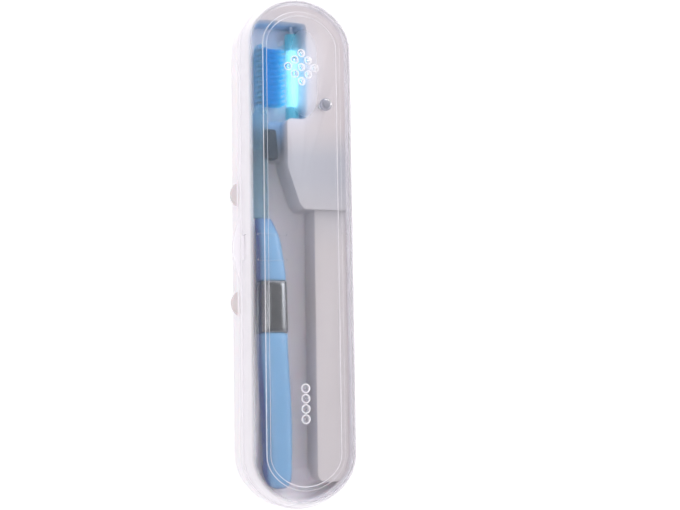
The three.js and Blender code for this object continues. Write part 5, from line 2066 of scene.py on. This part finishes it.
@dataclass
class Power:
    """The two cells with their spring, plate and leads."""

    x: float = 15.05 * MM
    z: float = 7.55 * MM
    radius: float = 5.25 * MM
    cell_length: float = 44.5 * MM
    nub_radius: float = 1.9 * MM
    nub_height: float = 1.2 * MM
    bare_rim: float = 0.9 * MM
    spring_foot: float = -91.4 * MM
    spring_length: float = 5.6 * MM
    spring_wire: float = 0.35 * MM
    spring_turns: float = 4.5
    coil_radii: Point = (3.9 * MM, 2.6 * MM)
    plate_thick: float = 0.4 * MM
    plate_radius: float = 4.25 * MM
    plate_edge: float = 0.05 * MM

    def build(self) -> None:
        """Builds the cells and what joins them."""
        for end in ("rear", "front"):
            node = f"battery_cell_{end}"
            can = self.cell(f"cell_{end}_can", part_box(node)[0].y)
            set_up(can, node, Finishes.CELL)
            self.bare_ends(can)
        set_up(self.spring(), "battery_spring", Finishes.NICKEL)
        set_up(self.spring_plate(), "battery_spring", Finishes.NICKEL)
        refine("battery_plate", "plus_plate", self.plate_edge, Finishes.NICKEL)
        lead("lead_plus", "battery_lead_plus", Finishes.LEAD_RED, PLUS_ROUTE)
        lead("lead_minus", "battery_lead_minus", Finishes.LEAD_BLACK, MINUS_ROUTE)

    def cell(self, name: str, foot: float) -> bpy.types.Object:
        """One cell: a crimped can with its raised contact.

        Args:
            name: The piece's name.
            foot: Where along Y it starts.

        Returns:
            The piece.
        """
        r, length, nub = self.radius, self.cell_length, self.nub_radius
        whole = length - self.nub_height
        profile = filleted([
            (0.0, 0.25 * MM, 0.0),
            (r - 1.5 * MM, 0.25 * MM, 0.2 * MM),
            (r - 1.2 * MM, 0.0, 0.2 * MM),
            (r, 0.0, 0.5 * MM),
            (r, whole - 1.6 * MM, 0.3 * MM),
            (r - 0.3 * MM, whole - 1.1 * MM, 0.3 * MM),
            (r, whole - 0.6 * MM, 0.3 * MM),
            (r, whole, 0.5 * MM),
            (r - 1.0 * MM, whole, 0.2 * MM),
            (r - 1.3 * MM, whole - 0.3 * MM, 0.2 * MM),
            (nub, whole - 0.3 * MM, 0.2 * MM),
            (nub, length, 0.3 * MM),
            (0.0, length, 0.0),
        ], steps=3, hold=0.05 * MM)
        return laid(lathe(name, profile, 48), (self.x, foot, self.z), -math.pi / 2)

    def bare_ends(self, can: bpy.types.Object) -> None:
        """Leaves the can's ends bare metal where the jacket doesn't reach."""
        can.data.materials.append(Finishes.NICKEL.value.material())
        for face in can.data.polygons:
            away = math.hypot(face.center.x - self.x, face.center.z - self.z)
            if away < self.radius - self.bare_rim:
                face.material_index = 1

    def spring(self) -> bpy.types.Object:
        """The coil, grown by nodes."""
        half = self.plate_thick / 2
        coil = grown(
            "spring_coil", spring_tree(), Turns=self.spring_turns, Foot_Radius=self.coil_radii[0],
            Tip_Radius=self.coil_radii[1], Rise=self.spring_length + half - self.spring_wire,
            Wire_Radius=self.spring_wire, Foot=Vector((self.x, self.spring_foot + half, self.z)),
        )
        return smooth(coil, WIRE_ANGLE)

    def spring_plate(self) -> bpy.types.Object:
        """The plate at the coil's foot with its solder tab."""
        foot, head = self.spring_foot, self.spring_foot + self.plate_thick
        disc = prism("spring_plate", circle((self.x, self.z), self.plate_radius), Axis.Y, foot, head)
        tab = rectangle(9.8 * MM, 7.2 * MM, self.x, 12.8 * MM)
        carve(disc, [prism("tab", tab, Axis.Y, foot, head)], Carving.JOIN)
        return smooth(eased(disc, self.plate_edge))


@dataclass
class Electronics:
    """The circuit board and what stands on it."""

    edge: float = 0.12 * MM
    core: Point = (13.4 * MM, 40 * MM)
    limb: Point = (0.8 * MM, 2.35 * MM)
    winding: Point = (8.45 * MM, 12.95 * MM)
    wire_radius: float = 0.21 * MM
    wire_room: float = 0.22 * MM
    first_layer: float = 0.45 * MM
    layer_pitch: float = 0.42 * MM
    turns: int = 10
    layers: int = 4
    steps: int = 40
    squareness: float = 0.45

    def build(self) -> None:
        """Builds the board's pieces."""
        for node, name, finish, body in (
            ("circuit_board", "board_plate", Finishes.BOARD, "base"),
            ("transformer_core", "ferrite_core", Finishes.FERRITE, "base"),
            ("capacitor", "capacitor_drop", Finishes.CAPACITOR, "base"),
            ("timer_chip", "chip_body", Finishes.BLACK, "base"),
            ("switch_body", "switch_case", Finishes.BLACK, "base"),
            ("switch_plunger", "switch_stem", Finishes.PLUNGER, "plunger"),
        ):
            refine(node, name, self.edge, finish, body)
        path = self.winding_path()
        wire("winding_turns", "transformer_winding", path, self.wire_radius, Finishes.COPPER)

    def winding_path(self) -> list[Vector]:
        """The wire's path: layers of turns round the core's middle limb, up and down by turns."""
        foot, top = self.winding
        rise = top - foot - 2 * self.wire_room
        count = self.turns * self.steps
        path = []
        for layer in range(self.layers):
            out = self.first_layer + self.layer_pitch * layer
            for step in range(count + 1):
                turn = 2 * math.pi * step / self.steps
                level = step / count if layer % 2 == 0 else 1 - step / count
                path.append(Vector((
                    self.core[0] + (self.limb[0] + out) * bent(math.cos(turn), self.squareness),
                    self.core[1] + (self.limb[1] + out) * bent(math.sin(turn), self.squareness),
                    foot + self.wire_room + rise * level,
                )))
        return path


@dataclass
class Studio:
    """Floor, lamps, world and the camera at the photograph's angle."""

    yaw: float = 22.09
    pitch: float = -5.74
    roll: float = 0.90
    offset: Point = (-15.0, 3.08)
    distance: float = 595.08
    pixels_per_mm: float = 2.41
    aim_height: float = 23.6
    image_width: int = 680
    sensor: float = 36.0
    floor_half: float = 3.0
    floor_level: float = -0.1 * MM
    floor_lift: float = 0.35
    level: float = 1.03
    mirrored: float = 1.3
    zenith: float = 0.15
    lamps: tuple[Softbox, ...] = (
        Softbox("key_lamp", (0.75, 0.3, 0.8), (0.5, 0.5), 3.1),
        Softbox("strip_lamp", (-0.52, -0.05, 0.95), (0.16, 1.4), 1.8, hidden_from=("diffuse",)),
        Softbox("head_lamp", (0.2, 1.0, 0.5), (0.5, 0.5), 5.2),
        Softbox("foot_lamp", (-0.2, -1.0, 0.6), (0.5, 0.5), 0.25),
    )

    def build(self) -> None:
        """Sets the whole studio."""
        self.camera()
        self.floor()
        self.world()
        for lamp in self.lamps:
            lamp.hang()

    def camera(self) -> None:
        """Places the camera from its fit to the photograph."""
        turn = (
            Matrix.Rotation(math.radians(self.roll), 3, "Z")
            @ Matrix.Rotation(math.radians(self.pitch), 3, "X")
            @ Matrix.Rotation(math.radians(self.yaw), 3, "Y")
        )
        back = turn.transposed()
        eye = back @ Vector((-self.offset[0], -self.offset[1], self.distance))
        eye.z += self.aim_height
        data = bpy.data.cameras.new("photo_camera")
        data.sensor_width = self.sensor
        data.lens = self.sensor * self.pixels_per_mm * self.distance / self.image_width
        data.clip_start, data.clip_end = 0.01, 20.0
        camera = bpy.data.objects.new("photo_camera", data)
        camera.matrix_world = Matrix.Translation(eye * MM) @ back.to_4x4()
        bpy.context.scene.collection.objects.link(camera)
        bpy.context.scene.camera = camera
        bpy.context.scene.view_settings.view_transform = "Standard"

    def floor(self) -> None:
        """A pale floor that keeps the case's shadow and shows white elsewhere."""
        half = self.floor_half
        corners = [Axis.Z.point(x, y, self.floor_level) for x, y in rectangle(-half, -half, half, half)]
        floor = link("studio_floor", mesh_from("studio_floor", corners, [(0, 1, 2, 3)]))
        material, tree, shader = new_material("floor_pale")
        colour = tree.mix(tree.noise(0.2), srgb(240, 240, 242), srgb(244, 244, 246))
        tree.fill(shader, {"Base Color": colour, "Roughness": 0.7})
        inputs = {"Color": (1, 1, 1, 1), "Strength": tree.seen() * self.floor_lift}
        glow = tree.add("ShaderNodeEmission", inputs=inputs)
        both = tree.add("ShaderNodeAddShader", inputs={0: shader.outputs[0], 1: glow.outputs[0]})
        tree.surface(both.outputs[0])
        floor.data.materials.append(material)

    def world(self) -> None:
        """Soft light from all round, white where the camera sees it."""
        world = bpy.data.worlds.new("studio_world")
        world.use_nodes = True
        tree = Tree(world.node_tree)
        seen = tree.seen()
        _, _, up = tree.split(tree.add("ShaderNodeTexCoord").outputs["Generated"])
        overhead = up.above(0.55, 0.3) * seen * (self.mirrored - self.zenith)
        tree.fill(tree.nodes.nodes["Background"], {
            "Color": (1, 0.985, 1, 1),
            "Strength": self.level + seen * (self.mirrored - self.level) - overhead,
        })
        bpy.context.scene.world = world


def main() -> None:
    """Builds every sub-assembly in order."""
    logging.basicConfig(level=logging.INFO, format="%(message)s")
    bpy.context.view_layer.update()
    for assembly in (Studio(), Housing(), Power(), Electronics(), Lamp(), Toothbrush(), Lid()):
        assembly.build()
    bpy.context.view_layer.update()


if __name__ == "__main__":
    main()
